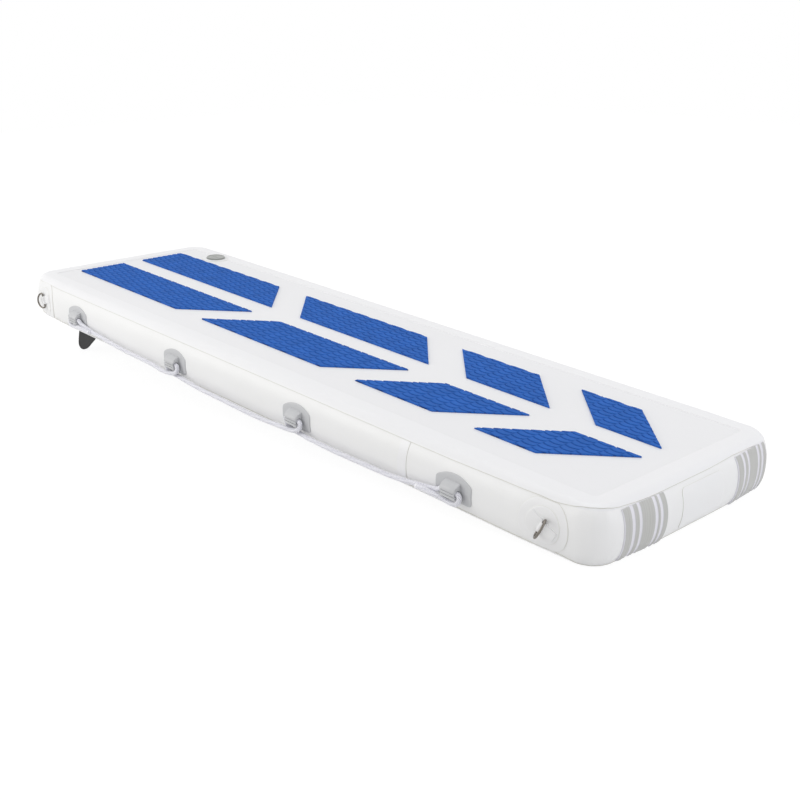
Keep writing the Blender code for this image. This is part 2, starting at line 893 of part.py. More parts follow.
# Route points are (along, out from the widest line, height), chosen by hand
end_turn = [
    (0.086, 0.0174, 0.0312), (0.072, 0.0172, 0.0334), (0.056, 0.0170, 0.0358), (0.042, 0.0166, 0.0378),
    (0.031, 0.0153, 0.0376), (0.0195, 0.0138, 0.0346), (0.009, 0.0126, 0.0325), (-0.002, 0.0118, 0.0309),
    (-0.011, 0.0114, 0.0304), (-0.0190, 0.0112, 0.0320), (-0.0240, 0.0110, 0.0358), (-0.0261, 0.0107, 0.0420),
    (-0.0258, 0.0104, 0.0480), (-0.0240, 0.0101, 0.0524), (-0.0195, 0.0100, 0.0542), (0.0, 0.0100, 0.0542),
    (0.0195, 0.0100, 0.0542), (0.0245, 0.0098, 0.0528), (0.032, 0.0090, 0.0494), (0.042, 0.0078, 0.0466),
    (0.056, 0.0072, 0.0434), (0.072, 0.0072, 0.0406), (0.090, 0.0074, 0.0370),
]
middle_turn = [
    (-0.042, 0.0142, 0.0258), (-0.024, 0.0162, 0.0262), (-0.006, 0.0167, 0.0268), (0.008, 0.0165, 0.0288),
    (0.0180, 0.0150, 0.0318), (0.0240, 0.0132, 0.0362), (0.0261, 0.0115, 0.0420), (0.0258, 0.0105, 0.0480),
    (0.0240, 0.0101, 0.0524), (0.0195, 0.0100, 0.0542), (0.0, 0.0100, 0.0542), (-0.0195, 0.0100, 0.0542),
    (-0.0240, 0.0098, 0.0524), (-0.0258, 0.0092, 0.0480), (-0.0261, 0.0080, 0.0420), (-0.0246, 0.0060, 0.0340),
    (-0.0185, 0.0043, 0.0280), (-0.006, 0.0041, 0.0252), (0.012, 0.0042, 0.0242), (0.028, 0.0048, 0.0238),
    (0.042, 0.0064, 0.0236),
]
bay_routes = [
    [(-0.615, 0.0078, 0.0352), (-0.570, 0.0082, 0.0322), (-0.520, 0.0086, 0.0294), (-0.460, 0.0090, 0.0280),
     (-0.400, 0.0094, 0.0280), (-0.345, 0.0110, 0.0276)],
    [(-0.180, 0.0082, 0.0222), (-0.140, 0.0090, 0.0206), (-0.080, 0.0088, 0.0200), (-0.020, 0.0086, 0.0188),
     (0.040, 0.0086, 0.0178), (0.095, 0.0090, 0.0184), (0.140, 0.0108, 0.0218)],
    [(0.305, 0.0085, 0.0242), (0.350, 0.0092, 0.0240), (0.400, 0.0092, 0.0246), (0.450, 0.0090, 0.0258),
     (0.505, 0.0088, 0.0268), (0.550, 0.0084, 0.0290), (0.583, 0.0079, 0.0325)],
]


def rope_route():
    route = [(holder_x(1) + u, depth, height) for u, depth, height in end_turn]
    for bay, points in enumerate(bay_routes, 1):
        route += points
        if bay < len(bay_routes):
            route += [(holder_x(bay + 1) + u, depth, height) for u, depth, height in middle_turn]
    route += [(holder_x(holder_count) - u, depth, height) for u, depth, height in reversed(end_turn)]
    return route


# Points read from a smooth curve through the route, closer together where it turns
def read_route(route):
    knots = [Vector(p) for p in route]
    knots = [2 * knots[0] - knots[1]] + knots + [2 * knots[-1] - knots[-2]]
    fine = []
    for k in range(1, len(knots) - 2):
        a, b, c, d = knots[k - 1:k + 3]
        times = [0.0]
        for p, q in ((a, b), (b, c), (c, d)):
            times.append(times[-1] + math.sqrt((q - p).length))
        t0, t1, t2, t3 = times
        for step in range(rope_fine_steps):
            t = t1 + (t2 - t1) * step / rope_fine_steps
            a1 = a * ((t1 - t) / (t1 - t0)) + b * ((t - t0) / (t1 - t0))
            a2 = b * ((t2 - t) / (t2 - t1)) + c * ((t - t1) / (t2 - t1))
            a3 = c * ((t3 - t) / (t3 - t2)) + d * ((t - t2) / (t3 - t2))
            b1 = a1 * ((t2 - t) / (t2 - t0)) + a2 * ((t - t0) / (t2 - t0))
            b2 = a2 * ((t3 - t) / (t3 - t1)) + a3 * ((t - t1) / (t3 - t1))
            fine.append(b1 * ((t2 - t) / (t2 - t1)) + b2 * ((t - t1) / (t2 - t1)))
    fine.append(knots[-2])
    kept = [0]
    for k in range(2, len(fine)):
        start = fine[kept[-1]]
        ahead = (fine[k] - start).normalized()
        stray = max((p - start - ahead * (p - start).dot(ahead)).length for p in fine[kept[-1]:k])
        if stray > rope_chord_error or (fine[k] - start).length > rope_longest_step:
            kept.append(k - 1)
    kept.append(len(fine) - 1)
    return [fine[k] for k in kept]


def route_length(points):
    return sum((b - a).length for a, b in zip(points, points[1:]))


def build_lifelines(rope):
    points = read_route(rope_route())
    print("lifeline points", len(points), "length", round(route_length(points), 4))
    for side, word in ((-1, "left"), (1, "right")):
        curve = bpy.data.curves.new(f"lifeline_{word}", "CURVE")
        curve.dimensions = "3D"
        curve.bevel_depth = rope_radius
        curve.bevel_resolution = rope_bevel_resolution
        curve.use_fill_caps = True
        spline = curve.splines.new("POLY")
        spline.points.add(len(points) - 1)
        for target, p in zip(spline.points, points):
            target.co = (*off_side(side, p[0], p[1], p[2]), 1.0)
        curve.materials.append(rope)
        obj = bpy.data.objects.new(f"lifeline_{word}", curve)
        bpy.context.collection.objects.link(obj)


# Point off the faceted side band at an x and a height on one long side
def band_point(side, x, height, lift):
    run = run_at(side, x)
    angle = wall_angle_at(height)
    i = max(k for k in range(len(stations) - 1) if stations[k] <= run)
    r = max(k for k in range(len(band_angles) - 1) if band_angles[k] <= angle)
    run_share = (run - stations[i]) / (stations[i + 1] - stations[i])
    row_share = (angle - band_angles[r]) / (band_angles[r + 1] - band_angles[r])
    ends = []
    for row in band_angles[r:r + 2]:
        first, last = (skin_point(stations[k], (row, 0.0), lift) for k in (i, i + 1))
        ends.append(first.lerp(last, run_share))
    return ends[0].lerp(ends[1], row_share)


# Seat of a D-ring with its bar direction, strap direction and outward normal
def ring_frame(side, x, tilt):
    lift = patch_clearance + disc_thickness
    reach = ring_half_width / 2
    seat = band_point(side, x, half_height, lift)
    ahead = band_point(side, x + reach, half_height, lift) - band_point(side, x - reach, half_height, lift)
    rise = band_point(side, x, half_height + reach, lift) - band_point(side, x, half_height - reach, lift)
    normal = side * rise.cross(ahead).normalized()
    ahead = (ahead - normal * ahead.dot(normal)).normalized()
    rise = side * ahead.cross(normal)
    c, s = math.cos(math.radians(tilt)), math.sin(math.radians(tilt))
    return seat, rise * c + ahead * s, ahead * c - rise * s, normal


def ring_path(pivot, bar, outward):
    r = ring_corner_radius
    corner = []
    for step in range(ring_corner_steps + 1):
        turn = math.radians(90.0) * step / ring_corner_steps
        corner.append((ring_half_width - r + r * math.sin(turn), r - r * math.cos(turn)))
    path = corner.copy()
    for step in range(1, ring_arc_steps):
        turn = math.pi * step / ring_arc_steps
        path.append((ring_half_width * math.cos(turn), r + (ring_reach - r) * math.sin(turn)))
    path += [(-u, v) for u, v in reversed(corner)]
    return [pivot + bar * u + outward * v for u, v in path]


# Disc drawn on the wall in (along, height), cut off where it meets the seam tapes
def clipped_disc(radius):
    limit = float(np.interp(tape_edge_angle, table_angles, table_runs)) - patch_clearance
    reach = math.degrees(math.asin(min(limit / radius, 1.0)))
    outline = []
    for middle in (0.0, 180.0):
        for step in range(disc_steps + (reach < 90.0)):
            turn = math.radians(middle - reach + 2 * reach * step / disc_steps)
            height = wall_section(angle_at_wall_run(radius * math.sin(turn)), side_bulge)[1]
            outline.append((radius * math.cos(turn), height))
    return outline


def build_ring_seat(word, side, x, tilt, angle, vinyl, steel):
    rim = patch_clearance + disc_rim_thickness
    name = f"dring_patch_{word}"
    patch = side_sheet(
        name, side, x, disc_radius, (patch_clearance, rim), [clipped_disc(disc_radius)], vinyl
    )
    inner_lifts = (patch_clearance + disc_rim_thickness / 2, patch_clearance + disc_thickness)
    raised = side_sheet(
        "disc_top", side, x, disc_top_radius, inner_lifts, [clipped_disc(disc_top_radius)], vinyl
    )
    add_boolean(patch, raised, "UNION")
    seat, bar, along, normal = ring_frame(side, x, tilt)
    bar_height = bar_clearance + ring_wire_radius
    pivot = seat + normal * bar_height
    outward = normal * math.cos(math.radians(angle)) + along * math.sin(math.radians(angle))
    tube_mesh(
        f"dring_{word}", ring_path(pivot, bar, outward), ring_wire_radius, ring_wire_sides, steel,
        loop=True, reference=bar.cross(outward),
    )
    build_strap(f"dring_strap_{word}", side, x, (seat, bar, along, normal), bar_height, vinyl)


# The strap's tails follow the wall under it and its arch rises over the bar
def build_strap(name, side, x, frame, bar_height, vinyl):
    seat, bar, along, normal = frame
    half = strap_width / 2
    inner = ring_wire_radius + bar_clearance
    tails = []
    for sign in (-1, 1):
        tail = []
        for u, v in ((inner + strap_thickness / 4, -half), (strap_half_length, -half),
                     (strap_half_length, half), (inner + strap_thickness / 4, half)):
            at = seat + along * (sign * u) + bar * v
            tail.append((at[0] - x, at[2]))
        tails.append(tail)
    low = patch_clearance + disc_thickness + clearance
    strap = side_sheet(name, side, x, strap_half_length, (low, low + strap_thickness), tails, vinyl)
    foot = clearance + strap_thickness * strap_foot_share
    arch = [(inner, foot), (inner + strap_thickness, foot)]
    for reach, turns in ((inner + strap_thickness, range(strap_loop_steps + 1)),
                         (inner, range(strap_loop_steps, -1, -1))):
        for step in turns:
            turn = math.pi * step / strap_loop_steps
            arch.append((reach * math.cos(turn), bar_height + reach * math.sin(turn)))
        if reach > inner:
            arch += [(-inner - strap_thickness, foot), (-inner, foot)]
    loop = prism_mesh(
        "strap_arch", [arch], (-half, half), lambda u, v, d: seat + along * u + normal * v + bar * d, vinyl
    )
    add_boolean(strap, loop, "UNION")


def build_rings(vinyl, steel):
    places = (
        ("near", near_ring_x, near_bar_tilt, near_ring_angle),
        ("far", far_ring_x, far_bar_tilt, far_ring_angle),
    )
    for side, hand in ((-1, "left"), (1, "right")):
        for end, x, tilt, angle in places:
            build_ring_seat(f"{hand}_{end}", side, x, tilt, angle, vinyl, steel)


# Rubbing strip: raised bands parted by sunk lines, on the near end between the seam tapes
def build_strips(vinyl):
    base_top = patch_clearance + strip_base
    rib_lifts = (patch_clearance + strip_base / 2, base_top + strip_rib_height)
    heights = (strip_edge_height, body_height - strip_edge_height)
    for word, side in (("left", -1), ("right", 1)):
        start = trim_centre + side * strip_inner_edge
        whole = box_outline((start, start + side * strip_width), heights)
        strip = end_sheet(f"rubbing_strip_{word}", (patch_clearance, base_top), [whole], vinyl)
        edge = (heights[0] + strip_rim, heights[1] - strip_rim)
        # Both strips are the same extrusion, so the left one starts from its outer edge
        first = min(start, start + side * strip_width)
        bands = [
            box_outline([first + strip_width * share for share in shares], edge)
            for shares in strip_rib_shares
        ]
        add_boolean(strip, end_sheet("strip_ribs", rib_lifts, bands, vinyl), "UNION")


def box_outline(us, vs):
    return [(us[0], vs[0]), (us[1], vs[0]), (us[1], vs[1]), (us[0], vs[1])]


def build_panel(vinyl):
    ends = (trim_centre - panel_half_width, trim_centre + panel_half_width)
    corners = box_outline(ends, (body_height - panel_edge_height, panel_edge_height))
    outline = rounded_outline(corners, panel_corner_radius, panel_corner_steps)
    end_sheet("end_panel", (patch_clearance, patch_clearance + panel_thickness), [outline], vinyl)


def fin_outline():
    root = -(patch_clearance + fin_base_thickness + fin_boss_height - fin_slot_depth)
    outline = [
        (fin_root_front, -fin_neck_drop), (fin_root_front, root),
        (fin_root_back, root), (fin_root_back, -fin_neck_drop),
    ]
    outline += [(fin_back + fin_length * u, -fin_drop * v) for u, v in fin_blade_shares]
    return outline


def build_fins(black, vinyl):
    boss_half = (fin_root_front - fin_root_back) / 2 + fin_boss_margin
    centre_x = (fin_root_front + fin_root_back) / 2
    for side, word in ((-1, "left"), (1, "right")):
        y = side * fin_y
        fin = prism_mesh(
            f"fin_{word}", [fin_outline()], (-fin_thickness / 2, fin_thickness / 2),
            lambda u, v, d: Vector((u, y + d, v)), black,
        )
        bevel = fin.modifiers.new("edge", "BEVEL")
        bevel.width = fin_bevel
        bevel.segments = 1
        bevel.limit_method = "ANGLE"
        top = -patch_clearance
        plate_low = top - fin_base_thickness
        half = fin_base_length / 2
        corner = fin_base_width / 2 - clearance
        corners = [
            (centre_x - half, -fin_base_width / 2), (centre_x + half, -fin_base_width / 2),
            (centre_x + half, fin_base_width / 2), (centre_x - half, fin_base_width / 2),
        ]
        outline = rounded_outline(corners, corner, fin_arc_steps)
        base = prism_mesh(
            f"fin_base_{word}", [outline], (plate_low, top), lambda u, v, d: Vector((u, y + v, d)), vinyl
        )
        boss_middle = Vector((centre_x, y, plate_low - fin_boss_height / 2 + clearance))
        boss_size = (2 * boss_half, fin_boss_width, fin_boss_height + 2 * clearance)
        add_boolean(base, box_mesh("fin_boss", boss_middle, boss_size, vinyl), "UNION")
        boss_low = boss_middle[2] - boss_size[2] / 2
        root = fin_outline()[1][1]
        slot_high = root + clearance
        slot_low = boss_low - cutter_overrun
        slot_middle = Vector((centre_x, y, (slot_high + slot_low) / 2))
        slot_length = fin_root_front - fin_root_back + 2 * clearance
        slot_size = (slot_length, fin_thickness + 2 * clearance, slot_high - slot_low)
        add_boolean(base, box_mesh("fin_slot", slot_middle, slot_size, vinyl), "DIFFERENCE")


# Cut faces are split by a rule that never draws the same edge twice
def split_cut_faces():
    for obj in bpy.data.objects:
        if not obj.hide_render and any(m.type == "BOOLEAN" for m in obj.modifiers):
            split = obj.modifiers.new("split", "TRIANGULATE")
            split.quad_method = "BEAUTY"
            split.ngon_method = "BEAUTY"


def build_all():
    clear_scene()
    white = make_material("white_pvc", (0.84, 0.84, 0.83), 0.45)
    tape = make_material("tape_pvc", (0.88, 0.88, 0.87), 0.40)
    blue = make_material("blue_eva", (0.03, 0.11, 0.46), 0.80)
    grey = make_material("grey_pvc", (0.55, 0.56, 0.56), 0.50)
    dark = make_material("dark_plastic", (0.05, 0.05, 0.05), 0.50)
    rubber = make_material("seal_rubber", (0.03, 0.03, 0.03), 0.70)
    steel = make_material("stainless_steel", (0.62, 0.60, 0.57), 0.25, 1.0)
    rope = make_material("white_rope", (0.85, 0.85, 0.90), 0.85)
    yarn = make_material("white_yarn", (0.80, 0.80, 0.80), 0.90)
    build_body(white, white, yarn)
    build_tapes(tape)
    build_pads(blue)
    build_valve(white, grey, dark, rubber, steel)
    build_holders(grey)
    build_lifelines(rope)
    build_rings(white, steel)
    build_strips(grey)
    build_panel(white)
    build_fins(dark, white)
    split_cut_faces()


build_all()
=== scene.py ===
# Inflatable gangway for boarding a boat: the finished looks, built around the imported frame.
# Metres. +X is the end with the rubbing strips, +Y the right-hand side, +Z up.
import math

import bmesh
import bpy
import numpy as np
from mathutils import Matrix, Vector


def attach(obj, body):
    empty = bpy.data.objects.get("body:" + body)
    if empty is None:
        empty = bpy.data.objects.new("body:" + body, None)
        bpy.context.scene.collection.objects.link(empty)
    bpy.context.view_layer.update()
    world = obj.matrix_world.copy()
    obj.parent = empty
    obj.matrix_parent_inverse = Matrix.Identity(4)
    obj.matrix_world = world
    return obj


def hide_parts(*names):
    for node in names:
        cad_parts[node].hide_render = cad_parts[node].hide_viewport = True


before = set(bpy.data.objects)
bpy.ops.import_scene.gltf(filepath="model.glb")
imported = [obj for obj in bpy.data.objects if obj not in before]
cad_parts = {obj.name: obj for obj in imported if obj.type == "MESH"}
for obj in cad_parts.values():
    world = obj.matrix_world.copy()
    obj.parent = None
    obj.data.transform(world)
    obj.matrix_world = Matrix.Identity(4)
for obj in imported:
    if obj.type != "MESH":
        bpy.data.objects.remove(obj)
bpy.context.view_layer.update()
scene = bpy.context.scene
scene.view_settings.view_transform = "Standard"
bothSides = ((-1, "left"), (1, "right"))
mathNode, mixNode, noiseNode = "ShaderNodeMath", "ShaderNodeMix", "ShaderNodeTexNoise"
print("frame loaded,", len(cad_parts), "nodes")


# sRGB hex colour to the linear RGBA that a shader socket takes
def linear(hexColour):
    parts = [int(hexColour[k:k + 2], 16) / 255 for k in (1, 3, 5)]
    return [p / 12.92 if p <= 0.04045 else ((p + 0.055) / 1.055) ** 2.4 for p in parts] + [1.0]


# Adds a node with its settings and its inputs, each a value, a hex colour or a socket to link
def addNode(tree, kind, settings=None, inputs=None, out=0):
    node = tree.nodes.new(kind)
    for key, value in (settings or {}).items():
        setattr(node, key, value)
    for key, value in (inputs or {}).items():
        if isinstance(value, bpy.types.NodeSocket):
            tree.links.new(value, node.inputs[key])
        elif isinstance(value, str) and value.startswith("#"):
            node.inputs[key].default_value = linear(value)
        else:
            node.inputs[key].default_value = value
    return node if out is None else node.outputs[out]


# Adds a run of nodes of one kind; each row is a label, an operation and terms, numbers or earlier labels
def addRun(tree, kind, known, rows):
    for label, operation, *terms in rows:
        inputs = {k: known.get(term, term) for k, term in enumerate(terms)}
        known[label] = addNode(tree, kind, {"operation": operation}, inputs)


# Camera, read off the deck pads and the body's outline in the photograph
cameraSettings = {
    "place": (2.08698, -1.77917, 1.00667),
    "right": (0.684391, 0.728754, 0.022948),
    "up": (-0.274967, 0.228823, 0.933827),
    "back": (0.675279, -0.645413, 0.356987),
    "lens": 52.384,
    "sensor": 36.0,
    "clip": (0.05, 60.0),
}


def buildCamera(s):
    data = bpy.data.cameras.new("photoCamera")
    data.lens, data.sensor_width = s["lens"], s["sensor"]
    data.clip_start, data.clip_end = s["clip"]
    camera = bpy.data.objects.new("photoCamera", data)
    turn = Matrix((s["right"], s["up"], s["back"])).transposed().to_4x4()
    camera.matrix_world = Matrix.Translation(s["place"]) @ turn
    scene.collection.objects.link(camera)
    scene.camera = camera


buildCamera(cameraSettings)

# The body's own shape, the same rule as in the source of the solids
bodyShape = {
    "length": 2.10,
    "width": 0.615,
    "height": 0.12,
    "sideBulge": 0.038,
    "cornerBulge": 0.029,
    "deckCorner": 0.040,
    "bulgeEase": 0.12,
    "power": 2.1,
}
halfLength = bodyShape["length"] / 2
halfWidth = bodyShape["width"] / 2
halfHeight = bodyShape["height"] / 2
deckTop = bodyShape["height"]
cornerRadius = bodyShape["deckCorner"]
sideStraight = halfLength - bodyShape["sideBulge"] - cornerRadius
endStraight = halfWidth - bodyShape["sideBulge"] - cornerRadius
cornerRun = (cornerRadius + bodyShape["cornerBulge"]) * math.pi / 2
sideMiddleRun = endStraight + cornerRun + sideStraight
halfRun = 2 * sideMiddleRun
runMarks = np.cumsum([endStraight, cornerRun, 2 * sideStraight, cornerRun])


def smooth(share):
    share = np.clip(share, 0.0, 1.0)
    return share * share * (3 - 2 * share)


# Deck outline, outward direction and bulge at a run round the body from the middle of the near end
def outlineAt(run):
    run = (np.asarray(run, float) + halfRun) % (2 * halfRun) - halfRun
    side = np.where(run < 0, -1.0, 1.0)
    rest = np.abs(run)
    turns = np.clip((rest - runMarks[0]) / cornerRun, 0, 1) + np.clip((rest - runMarks[2]) / cornerRun, 0, 1)
    c, s = np.cos(turns * math.pi / 2), np.sin(turns * math.pi / 2)
    x = sideStraight - np.clip(rest - runMarks[1], 0, 2 * sideStraight) + cornerRadius * c
    y = np.clip(rest, 0, endStraight) - np.clip(rest - runMarks[3], 0, endStraight) + cornerRadius * s
    nearCorner = np.maximum(np.maximum(runMarks[0] - rest, rest - runMarks[1]), 0)
    farCorner = np.maximum(np.maximum(runMarks[2] - rest, rest - runMarks[3]), 0)
    ease = smooth(np.minimum(nearCorner, farCorner) / bodyShape["bulgeEase"])
    bulge = bodyShape["cornerBulge"] + (bodyShape["sideBulge"] - bodyShape["cornerBulge"]) * ease
    return x, side * y, c, side * s, bulge


# Degrees on the wall, from -90 at the underside to 90 at the deck, of a height
def angleAt(height):
    share = (np.asarray(height, float) - halfHeight) / halfHeight
    return np.copysign(np.degrees(np.arcsin(np.abs(share) ** (bodyShape["power"] / 2))), share)


# Small swells of the glued band and puckers beside its corners, in metres off the even shape
rippleSettings = {
    "swell": 0.00035,
    # Waves round the body: how many, phase, share of the swell, and lean with each degree up the wall
    "waves": ((17, 0.8, 1.0, 0.0), (38, 0.0, 0.6, 1 / 26)),
    "pucker": 0.00055,
    "puckerLength": 0.023,
    "puckerWander": (2.2, 31),
    "cornerReach": 0.085,
    "seamAngle": 52,
    "seamSpread": 17,
    # Patches on the sides hold the band flat
    "patchPlaces": (0.918, 0.7011, 0.2204, -0.2603, -0.741, -0.940),
    "patchReach": 0.075,
    "sideEase": 0.05,
}


def ripple(run, angle):
    s = rippleSettings
    rest = np.abs(np.asarray(run, float))
    x = sideMiddleRun - rest
    corner = sum(np.exp(-((rest - runMarks[k] - cornerRun / 2) / s["cornerReach"]) ** 2) for k in (0, 2))
    seam = np.exp(-((np.abs(angle) - s["seamAngle"]) / s["seamSpread"]) ** 2)
    wander, often = s["puckerWander"]
    pucker = np.sin(run * 2 * math.pi / s["puckerLength"] + wander * np.sin(run * often))
    pucker = s["pucker"] * corner * seam * pucker
    turn = run * math.pi / halfRun
    waves = sum(
        share * np.sin(count * turn + phase + angle * lean) for count, phase, share, lean in s["waves"])
    swell = s["swell"] * waves * np.cos(np.radians(angle)) ** 2
    onSide = smooth((rest - runMarks[1] + s["sideEase"]) / s["sideEase"])
    keep = 1.0
    for place in s["patchPlaces"]:
        keep = keep * (1 - onSide * np.exp(-((x - place) / s["patchReach"]) ** 4))
    return (pucker + swell) * keep


# Points on the body: angle on the wall, inset in on the deck, lift off the surface
def skinPoints(run, angle, inset=0.0, lift=0.0):
    run, angle, inset, lift = np.broadcast_arrays(run, angle, inset, lift)
    x, y, nx, ny, bulge = outlineAt(run)
    c, s = np.abs(np.cos(np.radians(angle))), np.abs(np.sin(np.radians(angle)))
    sign = np.where(angle < 0, -1.0, 1.0)
    power = bodyShape["power"]
    out = bulge * c ** (2 / power)
    height = halfHeight + sign * halfHeight * s ** (2 / power)
    lean = c ** (2 - 2 / power) / bulge
    rise = sign * s ** (2 - 2 / power) / halfHeight
    size = np.hypot(lean, rise)
    lift = lift + ripple(run, angle)
    flat = out - inset + lift * lean / size
    return np.stack([x + nx * flat, y + ny * flat, height + lift * rise / size], -1)


def placeOnSide(side, x):
    return lambda u, v, lift: skinPoints(side * (sideMiddleRun - x - u), angleAt(v), 0.0, lift)


def placeOnNearEnd(u, v, lift):
    return skinPoints(u, angleAt(v), 0.0, lift)


def placeOnDeck(x, y, lift):
    return np.stack(np.broadcast_arrays(x, y, deckTop + lift), -1)


def placeUnderneath(x, y, lift):
    return np.stack(np.broadcast_arrays(x, y, -lift), -1)


# Mesh object from points and faces, with normals turned outwards and named point attributes
def makeMesh(name, points, faces, material, attributes=None, sharpAngle=40.0):
    mesh = bpy.data.meshes.new(name)
    mesh.from_pydata([tuple(p) for p in np.asarray(points, float)], [], faces)
    edit = bmesh.new()
    edit.from_mesh(mesh)
    bmesh.ops.recalc_face_normals(edit, faces=edit.faces)
    edit.to_mesh(mesh)
    edit.free()
    mesh.shade_smooth()
    if sharpAngle:
        mesh.set_sharp_from_angle(angle=math.radians(sharpAngle))
    for label, values in (attributes or {}).items():
        mesh.attributes.new(label, "FLOAT", "POINT").data.foreach_set("value", np.asarray(values, np.float32))
    mesh.materials.append(material)
    piece = bpy.data.objects.new(name, mesh)
    scene.collection.objects.link(piece)
    return piece


# Says which body a piece rides on and which CAD nodes it stands for
def settle(piece, nodes, body="gangway"):
    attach(piece, body)
    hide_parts(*nodes)


# Faces of a grid numbered from first, columns by rows; flipped for an underside
def gridFaces(first, columns, rows, loop=False, flip=False):
    faces = []
    for i in range(columns if loop else columns - 1):
        a, b = first + i * rows, first + (i + 1) % columns * rows
        for r in range(rows - 1):
            face = (a + r, b + r, b + r + 1, a + r + 1)
            faces.append(face[::-1] if flip else face)
    return faces


# Faces that join rings of count points each; a closed stack also joins its last ring to its first
def ringFaces(first, rings, count, closed=False):
    faces = []
    for k in range(rings if closed else rings - 1):
        a, b = first + k * count, first + (k + 1) % rings * count
        faces += [(a + i, a + (i + 1) % count, b + (i + 1) % count, b + i) for i in range(count)]
    return faces


# Faces from a ring of count points to one middle point
def hubFaces(first, count, hub):
    return [(first + i, first + (i + 1) % count, hub) for i in range(count)]


# Closed sheet between two grids of points
def makeSheet(name, top, bottom, material, loop=False, attributes=None):
    columns, rows = top.shape[:2]
    low = columns * rows
    faces = gridFaces(0, columns, rows, loop) + gridFaces(low, columns, rows, loop, True)
    for i in range(columns if loop else columns - 1):
        for r in (0, rows - 1):
            a, b = i * rows + r, (i + 1) % columns * rows + r
            faces.append((a, low + a, low + b, b))
    for i in () if loop else (0, columns - 1):
        for a in range(i * rows, i * rows + rows - 1):
            faces.append((a, a + 1, low + a + 1, low + a))
    points = np.concatenate([top.reshape(-1, 3), bottom.reshape(-1, 3)])
    doubled = {k: np.concatenate([v.ravel(), v.ravel()]) for k, v in (attributes or {}).items()}
    return makeMesh(name, points, faces, material, doubled)


# How a patch's edge is rounded, as shares of its inset and of its thickness
patchEdge = ((0.0, 0.45), (0.3, 0.85), (1.0, 1.0))


# A glued patch: rings run in from its outline, the first few rounding its edge
def patchParts(outline, centre, place, thickness, sink=0.0002, edge=0.0009, rings=10, first=0):
    outline = np.asarray(outline, float)
    count = len(outline)
    inward = np.asarray(centre, float) - outline
    reach = np.linalg.norm(inward, axis=1)
    steps = [(0.0, -sink, 1.0)] + [(a * edge, b * thickness, float(a < 1)) for a, b in patchEdge]
    shares = [inset / reach for inset, _, _ in steps]
    shares += [edge / reach + (1 - edge / reach) * k / rings for k in range(1, rings)]
    steps += [(edge, thickness, 0.0)] * (rings - 1)
    points, marks = [], []
    for share, (_, lift, mark) in zip(shares, steps):
        p = outline + inward * share[:, None]
        points.append(place(p[:, 0], p[:, 1], lift))
        marks.append(np.full(count, mark))
    faces = ringFaces(first, len(points), count)
    last, hub = first + (len(points) - 1) * count, first + len(points) * count
    faces += hubFaces(last, count, hub) + [tuple(first + i for i in reversed(range(count)))]
    points.append(place(centre[0], centre[1], thickness)[None, :])
    marks.append(np.zeros(1))
    return np.concatenate(points), faces, np.concatenate(marks)


# Resamples a closed outline to evenly spaced points
def evenOutline(corners, spacing):
    corners = np.asarray(corners, float)
    loop = np.vstack([corners, corners[:1]])
    runs = np.concatenate([[0], np.cumsum(np.linalg.norm(np.diff(loop, axis=0), axis=1))])
    at = np.linspace(0, runs[-1], int(runs[-1] / spacing), endpoint=False)
    return np.stack([np.interp(at, runs, loop[:, k]) for k in (0, 1)], 1)


# Softens a closed outline by averaging each point with its neighbours
def softened(outline, rounds):
    for _ in range(rounds):
        outline = (np.roll(outline, 1, 0) + 2 * outline + np.roll(outline, -1, 0)) / 4
    return outline


# Rectangle about a middle point with rounded corners, each a fan of steps
def roundedBox(middle, low, high, radius, steps):
    corners = [(low[0], low[1]), (high[0], low[1]), (high[0], high[1]), (low[0], high[1])]
    outline = []
    for k, (u, v) in enumerate(corners):
        first = math.pi * (1 + k / 2)
        centre = (middle[0] + u - math.copysign(radius, u), middle[1] + v - (radius if k > 1 else -radius))
        for turn in np.linspace(first, first + math.pi / 2, steps + 1):
            outline.append((centre[0] + radius * math.cos(turn), centre[1] + radius * math.sin(turn)))
    return outline


# Empty geometry tree with named inputs, and its input sockets by name
def newTree(name, inputs):
    tree = bpy.data.node_groups.new(name, "GeometryNodeTree")
    tree.interface.new_socket("Geometry", in_out="INPUT", socket_type="NodeSocketGeometry")
    for label, kind in inputs.items():
        tree.interface.new_socket(label, in_out="INPUT", socket_type="NodeSocket" + kind)
    tree.interface.new_socket("Geometry", in_out="OUTPUT", socket_type="NodeSocketGeometry")
    outputs = addNode(tree, "NodeGroupInput", out=None).outputs
    return tree, {label: outputs[label] for label in ("Geometry", *inputs)}


# Ends a geometry tree: real geometry, smooth, in its material
def closeTree(tree, geometry, material):
    real = addNode(tree, "GeometryNodeRealizeInstances", inputs={"Geometry": geometry})
    shaded = addNode(tree, "GeometryNodeSetShadeSmooth", inputs={"Geometry": real})
    named = addNode(tree, "GeometryNodeSetMaterial", inputs={"Geometry": shaded, "Material": material})
    addNode(tree, "NodeGroupOutput", inputs={"Geometry": named}, out=None)
    return tree


# Stores a point attribute, then moves the points
def storeAndMove(tree, geometry, label, value, offset):
    kept = addNode(tree, "GeometryNodeStoreNamedAttribute", {"data_type": "FLOAT", "domain": "POINT"},
                   {"Geometry": geometry, "Name": label, "Value": value})
    return addNode(tree, "GeometryNodeSetPosition", inputs={"Geometry": kept, "Offset": offset})


# Offset along the normal by a distance
def alongNormal(tree, distance):
    normal = addNode(tree, "GeometryNodeInputNormal")
    return addNode(tree, "ShaderNodeVectorMath", {"operation": "SCALE"}, {0: normal, "Scale": distance})


